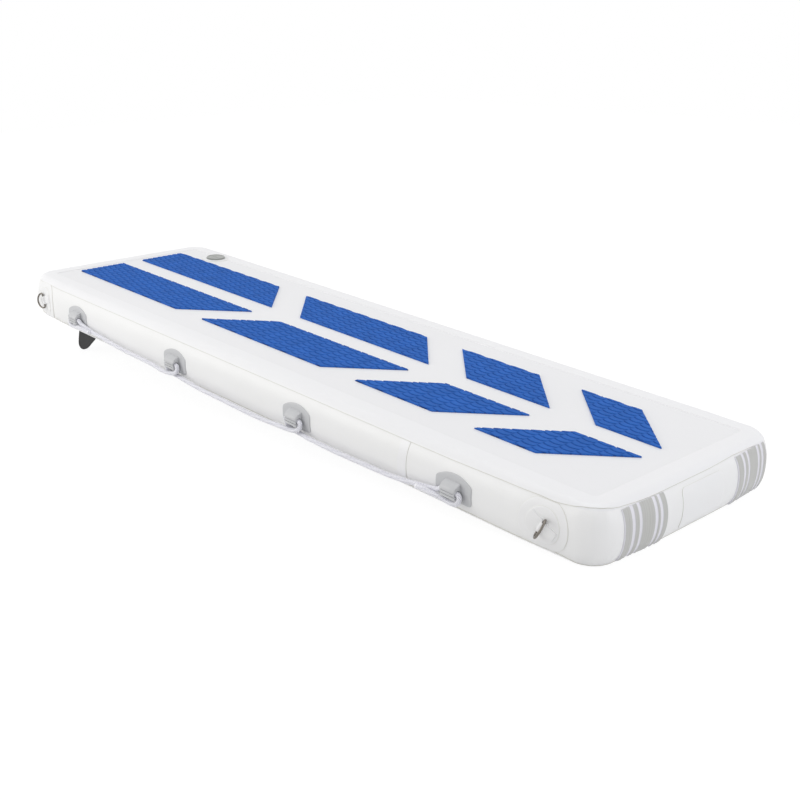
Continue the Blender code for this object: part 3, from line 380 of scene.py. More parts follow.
# Runs a geometry tree on a source object and keeps what it makes as a plain mesh piece
def growPiece(name, source, tree, values):
    modifier = source.modifiers.new("grow", "NODES")
    modifier.node_group = tree
    for item in tree.interface.items_tree:
        if item.in_out == "INPUT" and item.name in values:
            modifier[item.identifier] = values[item.name]
    bpy.context.view_layer.update()
    made = source.evaluated_get(bpy.context.evaluated_depsgraph_get())
    piece = bpy.data.objects.new(name, bpy.data.meshes.new_from_object(made))
    source.modifiers.remove(modifier)
    bpy.data.objects.remove(source)
    scene.collection.objects.link(piece)
    return piece


# Curve object of one spline through given points
def makePath(points, loop=False):
    data = bpy.data.curves.new("path", "CURVE")
    data.dimensions = "3D"
    spline = data.splines.new("POLY")
    spline.points.add(len(points) - 1)
    spline.points.foreach_set("co", np.hstack([points, np.ones((len(points), 1))]).ravel())
    spline.use_cyclic_u = loop
    path = bpy.data.objects.new("path", data)
    scene.collection.objects.link(path)
    return path


# Principled material with its tree, its shader and object coordinates in metres
def newMaterial(name, colour, roughness, more=None):
    material = bpy.data.materials.new(name)
    material.use_nodes = True
    tree = material.node_tree
    shader = tree.nodes["Principled BSDF"]
    for label, value in {"Base Color": linear(colour), "Roughness": roughness, **(more or {})}.items():
        shader.inputs[label].default_value = value
    return material, tree, shader, addNode(tree, "ShaderNodeTexCoord", out=None).outputs["Object"]


# Links a colour, a relief of a strength and a depth, and a roughness that wanders with a pattern
def finishMaterial(tree, shader, colour, height, relief, pattern=None, roughness=None):
    if colour:
        tree.links.new(colour, shader.inputs["Base Color"])
    bump = addNode(tree, "ShaderNodeBump", inputs={
        "Height": height, "Strength": relief[0], "Distance": relief[1],
    })
    tree.links.new(bump, shader.inputs["Normal"])
    if pattern:
        low, high = roughness
        rough = addNode(tree, "ShaderNodeMapRange", inputs={"Value": pattern, 3: low, 4: high})
        tree.links.new(rough, shader.inputs["Roughness"])


# PVC-coated polyester, calendered smooth: an even off-white with soft sheen. Its base cloth prints
# through as a faint grid. Threads are 0.9 mm apart, too fine to show, so they are drawn at 3 mm.
clothLook = {
    "cloud": {"Scale": 2.6, "Detail": 3.0},
    "fine": {"Scale": 38.0, "Detail": 4.0},
    "threads": {"Scale": 105.0, "Distortion": 0.6, "Detail": 1.0},
    "fineShare": 2.0,
    "relief": (0.10, 0.00025),
    "spread": (-0.06, 0.08),
}


def coatedCloth(name, colour, shade, glueAndShadeLine="#C4C3B9", roughness=0.40):
    s = clothLook
    material, tree, shader, place = newMaterial(name, colour, roughness)
    cloud, fine = (addNode(tree, noiseNode, inputs={"Vector": place, **s[k]}) for k in ("cloud", "fine"))
    tone = addNode(tree, mixNode, {"data_type": "RGBA"}, {"Factor": cloud, 6: colour, 7: shade}, 2)
    # Along tape and patch edges the colour turns to the line colour: partly a glue line, partly painted shade
    # of the edge
    line = addNode(tree, "ShaderNodeAttribute", {"attribute_name": "edge"}, out=2)
    lined = addNode(tree, mixNode, {"data_type": "RGBA"}, {"Factor": line, 6: tone, 7: glueAndShadeLine}, 2)
    known = {"fine": fine}
    for way in "XYZ":
        known[way] = addNode(
            tree, "ShaderNodeTexWave", {"bands_direction": way}, {"Vector": place, **s["threads"]}, 1)
    addRun(tree, mathNode, known, (
        ("crossed", "MULTIPLY", "X", "Y"), ("weave", "ADD", "crossed", "Z"),
        ("height", "MULTIPLY_ADD", "fine", s["fineShare"], "weave"),
    ))
    spread = [roughness + k for k in s["spread"]]
    finishMaterial(tree, shader, lined, known["height"], s["relief"], fine, spread)
    return material


# Cross-linked EVA foam, routed: matt, slightly furry blue, with painted shade darker down in the grooves and
# a painted highlight paler on the crowns. Foam cells of 0.5 mm are drawn at 2 mm.
foamLook = {
    "roughness": 0.82,
    "specular": 0.22,
    "cloud": {"Scale": 24.0, "Detail": 5.0},
    "cloudRange": {1: 0.3, 2: 0.7, 3: 0.90, 4: 1.10},
    "colourAt": 0.30,
    "cells": 500.0,
    "relief": (0.25, 0.0004),
}


def evaFoam(name, colour, groove, crownHighlight):
    s = foamLook
    material, tree, shader, place = newMaterial(
        name, colour, s["roughness"], {"Specular IOR Level": s["specular"]})
    depth = addNode(tree, "ShaderNodeAttribute", {"attribute_name": "groove"}, out=2)
    # Ramp by groove depth, from the painted crown highlight through the foam's colour to the painted groove
    # shade
    ramp = addNode(tree, "ShaderNodeValToRGB", inputs={"Fac": depth}, out=None)
    stops = ramp.color_ramp.elements
    stops[0].color, stops[1].color = linear(crownHighlight), linear(groove)
    stops.new(s["colourAt"]).color = linear(colour)
    cloud = addNode(tree, noiseNode, inputs={"Vector": place, **s["cloud"]})
    light = addNode(tree, "ShaderNodeMapRange", inputs={"Value": cloud, **s["cloudRange"]})
    tone = addNode(tree, "ShaderNodeHueSaturation", inputs={"Color": ramp.outputs[0], "Value": light})
    cells = addNode(tree, "ShaderNodeTexVoronoi", inputs={"Vector": place, "Scale": s["cells"]})
    finishMaterial(tree, shader, tone, cells, s["relief"])
    return material


# Moulded plastics and rubber: even colour, a little mottled, satin from the mould's own spark finish
mouldedLook = {
    "cloud": {"Scale": 9.0, "Detail": 4.0},
    "spark": {"Scale": 300.0, "Detail": 2.0},
    "relief": (0.18, 0.0002),
    "spread": (-0.07, 0.09),
}


def mouldedStuff(name, colour, shade, roughness):
    s = mouldedLook
    material, tree, shader, place = newMaterial(name, colour, roughness)
    cloud, spark = (addNode(tree, noiseNode, inputs={"Vector": place, **s[k]}) for k in ("cloud", "spark"))
    tone = addNode(tree, mixNode, {"data_type": "RGBA"}, {"Factor": cloud, 6: colour, 7: shade}, 2)
    finishMaterial(tree, shader, tone, spark, s["relief"], cloud, [roughness + k for k in s["spread"]])
    return material


# Extruded vinyl in two colours: grey bands with draw lines along them, paler sunk lines between
vinylLook = {
    "streaks": ("#ADADAA", "#CDCDCB"),
    "streak": {"Scale": 420.0, "Detail": 3.0},
    "fine": {"Scale": 160.0, "Detail": 3.0},
    "relief": (0.15, 0.0002),
    "roughness": (0.38, 0.54),
}


def bandedVinyl(name, bandColour, valleyColour):
    s = vinylLook
    material, tree, shader, place = newMaterial(name, bandColour, sum(s["roughness"]) / 2)
    level, across = (
        addNode(tree, "ShaderNodeAttribute", {"attribute_name": k}, out=2) for k in ("band", "across"))
    streak = addNode(tree, noiseNode, {"noise_dimensions": "1D"}, {"W": across, **s["streak"]})
    dark, pale = s["streaks"]
    shades = addNode(tree, mixNode, {"data_type": "RGBA"}, {"Factor": streak, 6: dark, 7: pale}, 2)
    tone = addNode(tree, mixNode, {"data_type": "RGBA"}, {"Factor": level, 6: valleyColour, 7: shades}, 2)
    fine = addNode(tree, noiseNode, inputs={"Vector": place, **s["fine"]})
    finishMaterial(tree, shader, tone, fine, s["relief"], fine, s["roughness"])
    return material


# Polyester yarn, braided or laid: bright white filaments, with painted shade between the strands. The bundles
# are modelled; single filaments of 0.02 mm show only as a soft streak drawn at 1 mm.
yarnLook = {
    "roughness": 0.62,
    "shine": {"Specular IOR Level": 0.35, "Sheen Weight": 0.25},
    "ridgeRange": {1: 0.05, 2: 0.65},
    "fuzz": {"Scale": 900.0, "Detail": 3.0},
    "relief": (0.35, 0.0004),
}


def yarnStuff(name, colour, shade):
    s = yarnLook
    material, tree, shader, place = newMaterial(name, colour, s["roughness"], s["shine"])
    # Painted shade where a strand dives under the next, full colour on its ridge
    ridge = addNode(tree, "ShaderNodeAttribute", {"attribute_name": "ridge"}, out=2)
    lift = addNode(tree, "ShaderNodeMapRange", inputs={"Value": ridge, **s["ridgeRange"]})
    tone = addNode(tree, mixNode, {"data_type": "RGBA"}, {"Factor": lift, 6: shade, 7: colour}, 2)
    fuzz = addNode(tree, noiseNode, inputs={"Vector": place, **s["fuzz"]})
    finishMaterial(tree, shader, tone, fuzz, s["relief"])
    return material


# Stainless wire, drawn, bent and polished: grey-brown mirror with fine draw marks
wireLook = {"marks": {"Scale": 700.0, "Detail": 2.0}, "relief": (0.08, 0.0001), "roughness": (0.14, 0.34)}


def polishedWire(name, colour):
    s = wireLook
    material, tree, shader, place = newMaterial(name, colour, s["roughness"][0], {"Metallic": 1.0})
    marks = addNode(tree, noiseNode, inputs={"Vector": place, **s["marks"]})
    finishMaterial(tree, shader, None, marks, s["relief"], marks, s["roughness"])
    return material


deckCloth = coatedCloth("deckPvcCloth", "#EFEFF1", "#EAEAEC")
bandCloth = coatedCloth("bandPvcCloth", "#F2F2F3", "#EEEEEE")
# The last colour of tape and patch cloth is their glue line with painted edge shade
tapeCloth = coatedCloth("seamTapePvcCloth", "#F2F2F4", "#EEEEF0", "#D2D1C8", roughness=0.34)
patchCloth = coatedCloth("patchPvcCloth", "#F1F1F2", "#EDEDEE", "#DFDED8", 0.36)
# Foam colour, then its painted groove shade and its painted crown highlight
padFoam = evaFoam("routedEvaFoam", "#235BAE", "#173F8C", "#2A63B8")
holderVinyl = mouldedStuff("mouldedGreyVinyl", "#C8C9CC", "#C1C2C4", 0.42)
stripVinyl = bandedVinyl("extrudedBandedVinyl", "#BDBDBB", "#E6E5EC")
ropeYarn = yarnStuff("braidedPolyester", "#F8F8FD", "#82829E")
innerYarn = yarnStuff("dropStitchPolyester", "#E8E8E4", "#C8C8C4")
valveNylon = mouldedStuff("mouldedGreyNylon", "#A3A5A2", "#979995", 0.42)
capNylon = mouldedStuff("mouldedCapNylon", "#A6A8A5", "#9A9C99", 0.38)
nutNylon = mouldedStuff("mouldedDarkNylon", "#3B3C3D", "#2F3031", 0.45)
finRubber = mouldedStuff("mouldedBlackFin", "#100F0F", "#0B0A0A", 0.62)
sealRubber = mouldedStuff("mouldedSealRubber", "#1F1F20", "#2A2A2B", 0.60)
ringSteel = polishedWire("polishedStainless", "#77726C")
print("materials made,", len(bpy.data.materials))

# Lifelines: routes are points (along, out from the side, height), along from a holder in the turns
lifelineSettings = {
    "diameter": 0.0110,
    "strands": 8,
    "layLength": 0.036,
    "relief": 0.0008,
    # How roundly a strand rises on top and how steeply the one below it dives
    "bold": 0.75,
    "dive": 0.40,
    "step": 0.0011,
    "sides": 28,
    "stepsPerPoint": 12,
    # The spliced tail thins to this share and leans this way against the standing part
    "taper": 0.050,
    "tailShare": 0.45,
    "tailLean": (0.0, -0.83, 0.56),
    # Just behind a cut end the yarn shows evenly white
    "cutReach": 0.004,
    "cutRidge": 0.85,
    "holderX": (-0.741, -0.2603, 0.2204, 0.7011),
}
endTurn = [
    (0.086, 0.0186, 0.0352), (0.072, 0.0184, 0.0368), (0.056, 0.0184, 0.0382), (0.042, 0.0182, 0.0384),
    (0.036, 0.0174, 0.0382), (0.031, 0.0164, 0.0374), (0.0195, 0.0142, 0.0357), (0.009, 0.0134, 0.0340),
    (-0.002, 0.0130, 0.0328), (-0.011, 0.0126, 0.0324), (-0.0180, 0.0122, 0.0336),
    (-0.0230, 0.0116, 0.0370), (-0.0254, 0.0110, 0.0420), (-0.0257, 0.0105, 0.0466),
    (-0.0249, 0.0102, 0.0503), (-0.0229, 0.0100, 0.0529), (-0.0195, 0.0100, 0.0541), (0.0, 0.0100, 0.0542),
    (0.0195, 0.0100, 0.0541), (0.0245, 0.0099, 0.0524), (0.031, 0.0089, 0.0478), (0.036, 0.0080, 0.0455),
    (0.042, 0.0072, 0.0436), (0.056, 0.0068, 0.0408), (0.072, 0.0068, 0.0386), (0.090, 0.0070, 0.0360),
]
middleTurn = [
    (-0.042, 0.0142, 0.0262), (-0.024, 0.0164, 0.0280), (-0.006, 0.0166, 0.0298), (0.008, 0.0160, 0.0316),
    (0.0172, 0.0148, 0.0340), (0.0228, 0.0132, 0.0374), (0.0254, 0.0117, 0.0420), (0.0257, 0.0107, 0.0466),
    (0.0249, 0.0102, 0.0503), (0.0229, 0.0100, 0.0529), (0.0195, 0.0100, 0.0541), (0.0, 0.0100, 0.0542),
    (-0.0195, 0.0100, 0.0541), (-0.0229, 0.0099, 0.0529), (-0.0249, 0.0096, 0.0503),
    (-0.0257, 0.0090, 0.0466), (-0.0254, 0.0078, 0.0415), (-0.0238, 0.0059, 0.0340),
    (-0.0180, 0.0043, 0.0284), (-0.006, 0.0040, 0.0256), (0.012, 0.0041, 0.0244), (0.028, 0.0048, 0.0238),
    (0.042, 0.0064, 0.0236),
]
bayRoutes = [
    [(-0.615, 0.0078, 0.0352), (-0.570, 0.0082, 0.0322), (-0.520, 0.0086, 0.0294), (-0.460, 0.0090, 0.0280),
     (-0.400, 0.0094, 0.0280), (-0.345, 0.0110, 0.0276)],
    [(-0.180, 0.0082, 0.0222), (-0.140, 0.0090, 0.0206), (-0.080, 0.0088, 0.0200), (-0.020, 0.0086, 0.0188),
     (0.040, 0.0086, 0.0178), (0.095, 0.0090, 0.0184), (0.140, 0.0108, 0.0218)],
    [(0.305, 0.0085, 0.0242), (0.350, 0.0092, 0.0240), (0.400, 0.0092, 0.0246), (0.450, 0.0090, 0.0258),
     (0.505, 0.0088, 0.0268), (0.550, 0.0084, 0.0290), (0.583, 0.0079, 0.0325)],
]


# Smooth line through the route's points: a centripetal spline, blended level by level
def lifelineRoute(s):
    holders = s["holderX"]
    route = [(holders[0] + u, d, z) for u, d, z in endTurn]
    for points, holder in zip(bayRoutes, holders[1:-1]):
        route += points + [(holder + u, d, z) for u, d, z in middleTurn]
    route += bayRoutes[-1] + [(holders[-1] - u, d, z) for u, d, z in reversed(endTurn)]
    knots = np.array(route)
    knots = np.vstack([2 * knots[0] - knots[1], knots, 2 * knots[-1] - knots[-2]])
    levels = (((0, 1), (1, 2), (2, 3)), ((0, 2), (1, 3)), ((1, 2),))
    line = []
    for k in range(1, len(knots) - 2):
        near = knots[k - 1:k + 3]
        marks = np.cumsum([0.0, *np.sqrt(np.linalg.norm(np.diff(near, axis=0), axis=1))])
        for t in np.linspace(marks[1], marks[2], s["stepsPerPoint"], endpoint=False):
            row = list(near)
            for spans in levels:
                shares = [(t - marks[i]) / (marks[j] - marks[i]) for i, j in spans]
                row = [row[n] * (1 - share) + row[n + 1] * share for n, share in enumerate(shares)]
            line.append(row[0])
    return tuckTails(np.array(line + [knots[-2]]), s)


# Each free end thins and nestles against the standing part, as a spliced tail does
def tuckTails(line, s):
    runs = np.concatenate([[0.0], np.cumsum(np.linalg.norm(np.diff(line, axis=0), axis=1))])
    rest = np.minimum(runs, runs[-1] - runs)
    thin = (1 - s["tailShare"]) * (1 - smooth(rest / s["taper"]))
    return line + s["diameter"] / 2 * thin[:, None] * np.array(s["tailLean"])


# Braid: two sets of strands wind opposite ways and take turns on top
def makeBraidTree():
    tree, known = newTree("braidTree", {
        "Radius": "Float", "Strands": "Float", "Lay Length": "Float", "Relief": "Float", "Bold": "Float",
        "Dive": "Float", "Step": "Float", "Sides": "Int", "Taper": "Float", "Tail Share": "Float",
        "Cut Reach": "Float", "Cut Ridge": "Float", "Material": "Material",
    })
    line = addNode(tree, "GeometryNodeResampleCurve", {"mode": "LENGTH"},
                   {"Curve": known["Geometry"], "Length": known["Step"]})
    known["length"] = addNode(tree, "GeometryNodeSplineParameter", out=1)
    known["whole"] = addNode(tree, "GeometryNodeSplineLength")
    known["index"] = addNode(tree, "GeometryNodeInputIndex")
    addRun(tree, mathNode, known, (
        ("back", "SUBTRACT", "whole", "length"), ("rest", "MINIMUM", "length", "back"),
        ("share", "DIVIDE", "index", "Sides"),
    ))
    width = addNode(tree, "ShaderNodeMapRange", {"interpolation_type": "SMOOTHSTEP"},
                    {"Value": known["rest"], 1: 0.0, 2: known["Taper"], 3: known["Tail Share"], 4: 1.0})
    line = addNode(tree, "GeometryNodeSetCurveRadius", inputs={"Curve": line, "Radius": width})
    loop = addNode(tree, "GeometryNodeCurvePrimitiveCircle", {"mode": "RADIUS"},
                   {"Resolution": known["Sides"], "Radius": known["Radius"]})
    marked = []
    for geometry, values in ((line, {"along": "length", "toEnd": "rest"}), (loop, {"around": "share"})):
        capture = addNode(tree, "GeometryNodeCaptureAttribute", out=None)
        tree.links.new(geometry, capture.inputs["Geometry"])
        for label, value in values.items():
            capture.capture_items.new("FLOAT", label)
            tree.links.new(known[value], capture.inputs[label])
        known.update({label: capture.outputs[label] for label in values})
        marked.append(capture.outputs["Geometry"])
    tube = addNode(tree, "GeometryNodeCurveToMesh", inputs={
        "Curve": marked[0], "Profile Curve": marked[1], "Fill Caps": True,
    })
    rows = [("turns", "DIVIDE", "along", "Lay Length")]
    for k, sign in enumerate(("ADD", "SUBTRACT")):
        rows += [
            (f"place{k}", sign, "around", "turns"), (f"row{k}", "MULTIPLY", f"place{k}", "Strands"),
            (f"part{k}", "FRACT", f"row{k}"), (f"angle{k}", "MULTIPLY", f"part{k}", math.pi),
            (f"crest{k}", "SINE", f"angle{k}"), (f"count{k}", "FLOOR", f"row{k}"),
            (f"bold{k}", "POWER", f"crest{k}", "Bold"), (f"dive{k}", "POWER", f"crest{k}", "Dive"),
        ]
    rows += [
        ("both", "ADD", "count0", "count1"), ("parity", "FLOORED_MODULO", "both", 2.0),
        ("first", "MULTIPLY", "bold0", "dive1"), ("second", "MULTIPLY", "bold1", "dive0"),
    ]
    addRun(tree, mathNode, known, rows)
    known["ridge"] = addNode(tree, mixNode, {"data_type": "FLOAT"},
                             {"Factor": known["parity"], 2: known["first"], 3: known["second"]})
    addRun(tree, mathNode, known, (
        ("depth", "SUBTRACT", "ridge", 1.0), ("shift", "MULTIPLY", "depth", "Relief"),
        ("inside", "GREATER_THAN", "toEnd", "Cut Reach"),
    ))
    shown = addNode(tree, mixNode, {"data_type": "FLOAT"},
                    {"Factor": known["inside"], 2: known["Cut Ridge"], 3: known["ridge"]})
    braid = storeAndMove(tree, tube, "ridge", shown, alongNormal(tree, known["shift"]))
    return closeTree(tree, braid, known["Material"])


# Plain round wire along a path
def makeWireTree():
    tree, given = newTree("wireTree", {"Radius": "Float", "Sides": "Int", "Material": "Material"})
    loop = addNode(tree, "GeometryNodeCurvePrimitiveCircle", {"mode": "RADIUS"},
                   {"Resolution": given["Sides"], "Radius": given["Radius"]})
    tube = addNode(tree, "GeometryNodeCurveToMesh", inputs={
        "Curve": given["Geometry"], "Profile Curve": loop, "Fill Caps": True,
    })
    return closeTree(tree, tube, given["Material"])


def buildLifelines(s):
    braidTree = makeBraidTree()
    route = lifelineRoute(s)
    for side, hand in bothSides:
        line = np.stack([route[:, 0], side * (halfWidth + route[:, 1]), route[:, 2]], 1)
        rope = growPiece(f"lifeline.{hand}", makePath(line), braidTree, {
            "Radius": s["diameter"] / 2, "Strands": float(s["strands"]), "Lay Length": s["layLength"],
            "Relief": s["relief"], "Bold": s["bold"], "Dive": s["dive"], "Step": s["step"],
            "Sides": s["sides"], "Taper": s["taper"], "Tail Share": s["tailShare"],
            "Cut Reach": s["cutReach"], "Cut Ridge": s["cutRidge"], "Material": ropeYarn,
        })
        settle(rope, [f"lifeline_{hand}"])


buildLifelines(lifelineSettings)

# Floor, white surroundings and soft lamps
stageSettings = {
    "floorSize": 14.0,
    "floorTilt": 2.88,
    "floorPivot": (1.02, 0.0, -0.0012),
    "floorColour": "#E8E8E8",
    "floorRoughness": 0.9,
    "paper": {"Scale": 60.0, "Detail": 2.0},
    "paperRelief": (0.05, 0.0005),
    "worldLight": 0.62,
    "floorGlow": 1.12,
    "floorGlowShare": 0.82,
    "lamps": (
        {"name": "farLeftSoftbox", "place": (-2.6, -3.4, 1.6), "size": 2.6, "power": 62.0, "tint": "#FFFEFA"},
        {"name": "overheadSoftbox", "place": (0.2, 0.4, 3.6), "size": 3.2, "power": 34.0, "tint": "#FFFFFF"},
        {"name": "nearEndFill", "place": (4.2, 0.8, 1.4), "size": 2.4, "power": 30.0, "tint": "#F8FAFF"},
    ),
}


# One where a camera, glossy or transmitted ray looks, as asked, and zero where a surface is lit
def seenBy(tree, rays):
    light = addNode(tree, "ShaderNodeLightPath", out=None).outputs
    known = {ray: light[f"Is {ray} Ray"] for ray in rays}
    addRun(tree, mathNode, known, [("Camera", "MAXIMUM", "Camera", ray) for ray in rays[1:]])
    return known["Camera"]


def buildWorld(s):
    world = bpy.data.worlds.new("whiteSurroundings")
    scene.world = world
    world.use_nodes = True
    tree = world.node_tree
    tree.nodes.clear()
    seen = seenBy(tree, ("Camera", "Glossy", "Transmission"))
    strength = addNode(tree, "ShaderNodeMapRange", inputs={"Value": seen, 3: s["worldLight"], 4: 1.0})
    light = addNode(tree, "ShaderNodeBackground", inputs={"Color": "#FFFFFF", "Strength": strength})
    addNode(tree, "ShaderNodeOutputWorld", inputs={"Surface": light}, out=None)


def buildFloor(s):
    material, tree, shader, place = newMaterial("whiteStudioFloor", s["floorColour"], s["floorRoughness"])
    paper = addNode(tree, noiseNode, inputs={"Vector": place, **s["paper"]})
    finishMaterial(tree, shader, None, paper, s["paperRelief"])
    known = {"seen": seenBy(tree, ("Camera", "Glossy"))}
    addRun(tree, mathNode, known, [("share", "MULTIPLY", "seen", s["floorGlowShare"])])
    glow = addNode(tree, "ShaderNodeEmission", inputs={"Color": "#FFFFFF", "Strength": s["floorGlow"]})
    both = addNode(tree, "ShaderNodeMixShader", inputs={0: known["share"], 1: shader.outputs[0], 2: glow})
    tree.links.new(both, tree.nodes["Material Output"].inputs["Surface"])
    half = s["floorSize"] / 2
    tilt = math.tan(math.radians(s["floorTilt"]))
    pivot, _, level = s["floorPivot"]
    places = ((-half, -half), (half, -half), (half, half), (-half, half))
    corners = [(x, y, level + tilt * (x - pivot)) for x, y in places]
    floor = makeMesh("studioFloor", corners, [(0, 1, 2, 3)], material)
    if floor.data.polygons[0].normal.z < 0:
        floor.data.flip_normals()


def buildStage(s):
    buildWorld(s)
    for lamp in s["lamps"]:
        data = bpy.data.lights.new(lamp["name"], "AREA")
        data.size, data.energy, data.color = lamp["size"], lamp["power"], linear(lamp["tint"])[:3]
        light = bpy.data.objects.new(lamp["name"], data)
        light.location = lamp["place"]
        light.rotation_euler = (-Vector(lamp["place"])).to_track_quat("-Z", "Y").to_euler()
        scene.collection.objects.link(light)
    buildFloor(s)
    print("stage set")


buildStage(stageSettings)

# Inflated body: skins, side band, seam tapes and the lap joint of the band
shellSettings = {
    "columns": 1040,
    "skinThickness": 0.0009,
    "seamHeight": 0.112,
    "bandRows": 31,
    "skinRows": 7,
    "skinInsets": (0.012, 0.040),
    "tapeLift": 0.0011,
    "tapeSink": 0.0001,
    # Height of the seam tape's hand-cut edge along the run from the near end's middle
    "tapeEdge": (
        (-1.40, 0.1062), (-0.63, 0.1062), (-0.51, 0.1080), (-0.41, 0.1090), (-0.379, 0.1080),
        (-0.3615, 0.1093), (-0.344, 0.1116), (-0.320, 0.1152), (-0.290, 0.1162), (-0.260, 0.1158),
        (-0.226, 0.1132), (-0.190, 0.1110), (-0.167, 0.1102), (0.045, 0.1105), (0.128, 0.1128),
        (0.194, 0.1107), (0.260, 0.1068), (0.320, 0.1062), (1.40, 0.1062),
    ),
    # Tape from its cut edge: degrees up the wall, share of its lift, and how much of its glue line with
    # painted edge shade shows
    "tapeStart": ((0.0, 0.0, 1.0), (0.0, 0.55, 1.0), (0.5, 0.9, 1.0), (1.6, 1.0, 0.0)),
    "tapeClimb": (3.0, 8),
    # The same on the deck, by inset
    "tapeEnd": (
        (0.015, 1.0, 0.0), (0.0278, 1.0, 0.0), (0.0289, 0.95, 0.12), (0.0298, 0.6, 0.12), (0.030, 0.0, 0.12),
    ),
    # Lap joint across: x, lift and glue line with painted edge shade
    "joint": (
        (0.5430, -0.0001, 0.3), (0.5430, 0.0005, 0.3), (0.5434, 0.00085, 0.2), (0.5442, 0.0009, 0.0),
        (0.5560, 0.0009, 0.0), (0.5678, 0.0009, 0.0), (0.5686, 0.00085, 0.6), (0.5690, 0.0005, 0.8),
        (0.5690, -0.0001, 0.8),
    ),
    "jointRows": 29,
    "jointMargin": 0.4,
    "jointSink": 0.0002,
}
ringRuns = np.linspace(-halfRun, halfRun, shellSettings["columns"], endpoint=False)


def buildShell(s):
    runs = ringRuns[:, None]
    seamAngle = float(angleAt(s["seamHeight"]))
    angles = np.linspace(-seamAngle, seamAngle, s["bandRows"])
    outer, inner = (skinPoints(runs, angles, 0.0, lift) for lift in (0.0, -s["skinThickness"]))
    settle(makeSheet("sideBand", outer, inner, bandCloth, loop=True), ["side_band"])
    insets = np.concatenate([np.zeros(s["skinRows"]), s["skinInsets"]])
    rows = np.minimum(np.linspace(seamAngle, 90.0, s["skinRows"]), 90.0)
    rows = np.concatenate([rows, np.full(len(s["skinInsets"]), 90.0)])
    for name, sign, node in (("deckSkin", 1, "top_skin"), ("undersideSkin", -1, "bottom_skin")):
        outer, inner = (skinPoints(runs, sign * rows, insets, lift) for lift in (0.0, -s["skinThickness"]))
        makeSkin(name, outer, inner, node)
    buildSeamTapes(runs, s)
    for side, hand in bothSides:
        buildJointTape(side, hand, s)
    print("shell built")


# The tape's cut edge sits in a thin line of glue with painted shade of the edge, darker than the cloth
def buildSeamTapes(runs, s):
    places, levels = np.array(s["tapeEdge"]).T
    start = angleAt(np.interp(ringRuns, places, levels))[:, None]
    degrees, startLifts, startMarks = np.array(s["tapeStart"]).T
    clear, count = s["tapeClimb"]
    climb = np.linspace(0, 1, count)
    climb = (start + clear) * (1 - climb) + 90 * climb
    endInsets, endLifts, endMarks = np.array(s["tapeEnd"]).T
    rows = np.hstack([start + degrees, climb, np.full((len(start), len(endInsets)), 90.0)])
    insets = np.concatenate([np.zeros(len(degrees) + count), endInsets])
    lifts = np.concatenate([startLifts, np.ones(count), endLifts]) * s["tapeLift"]
    marks = np.broadcast_to(np.concatenate([startMarks, np.zeros(count), endMarks]), rows.shape)
    for name, sign, node in (("topSeamTape", 1, "top_seam_tape"), ("bottomSeamTape", -1, "bottom_seam_tape")):
        outer, inner = (skinPoints(runs, sign * rows, insets, lift) for lift in (lifts, -s["tapeSink"]))
        tape = makeSheet(name, outer, inner, tapeCloth, loop=True, attributes={"edge": marks})
        settle(tape, [node])


# Closed thin skin whose middle is one flat face on each side
def makeSkin(name, outer, inner, node):
    columns, rows = outer.shape[:2]
    low = columns * rows
    faces = gridFaces(0, columns, rows, True) + gridFaces(low, columns, rows, True, True)
    for i in range(columns):
        a, b = i * rows, (i + 1) % columns * rows
        faces.append((a, low + a, low + b, b))
    faces.append(tuple(i * rows + rows - 1 for i in range(columns)))
    faces.append(tuple(low + i * rows + rows - 1 for i in reversed(range(columns))))
    points = np.concatenate([outer.reshape(-1, 3), inner.reshape(-1, 3)])
    settle(makeMesh(name, points, faces, deckCloth), [node])


# Lap joint where the two halves of the side band meet, one on each long side
def buildJointTape(side, hand, s):
    xs, lifts, marks = np.array(s["joint"]).T
    reach = float(angleAt(min(level for _, level in s["tapeEdge"]))) - s["jointMargin"]
    angles = np.linspace(-reach, reach, s["jointRows"])
    runs = (side * (sideMiddleRun - xs))[:, None]
    outer, inner = (skinPoints(runs, angles, 0.0, lift) for lift in (lifts[:, None], -s["jointSink"]))
    marks = np.broadcast_to(marks[:, None], outer.shape[:2])
    tape = makeSheet(f"sideJointTape.{hand}", outer, inner, tapeCloth, attributes={"edge": marks})
    settle(tape, [f"side_joint_tape_{hand}"])


buildShell(shellSettings)

# Deck pads: foam sheet routed all over in rows of overlapping scales, then cut to shape
padSettings = {
    "outerEdge": 0.172,
    "innerEdge": 0.0325,
    "slant": 0.147,
    "rowStart": -0.957,
    "lengths": (0.497, 0.476, 0.243, 0.161),
    "gap": 0.1215,
    "top": 0.1243,
    "cutAbove": 0.1230,
    "wallHeights": (0.1221, 0.1201),
    "rim": (0.0, 0.0003, 0.0010),
    "rimDrop": 0.0005,
    "rimReach": 0.0011,
    "step": 0.0014,
    "scaleLength": 0.034,
    "scaleWidth": 0.0172,
    "arcRise": 0.0048,
    "grooveFloor": 0.0006,
    "grooveWidth": 0.0034,
    "grooveDepth": 0.0012,
    "sideGroove": 0.18,
    "tilt": 0.0010,
}


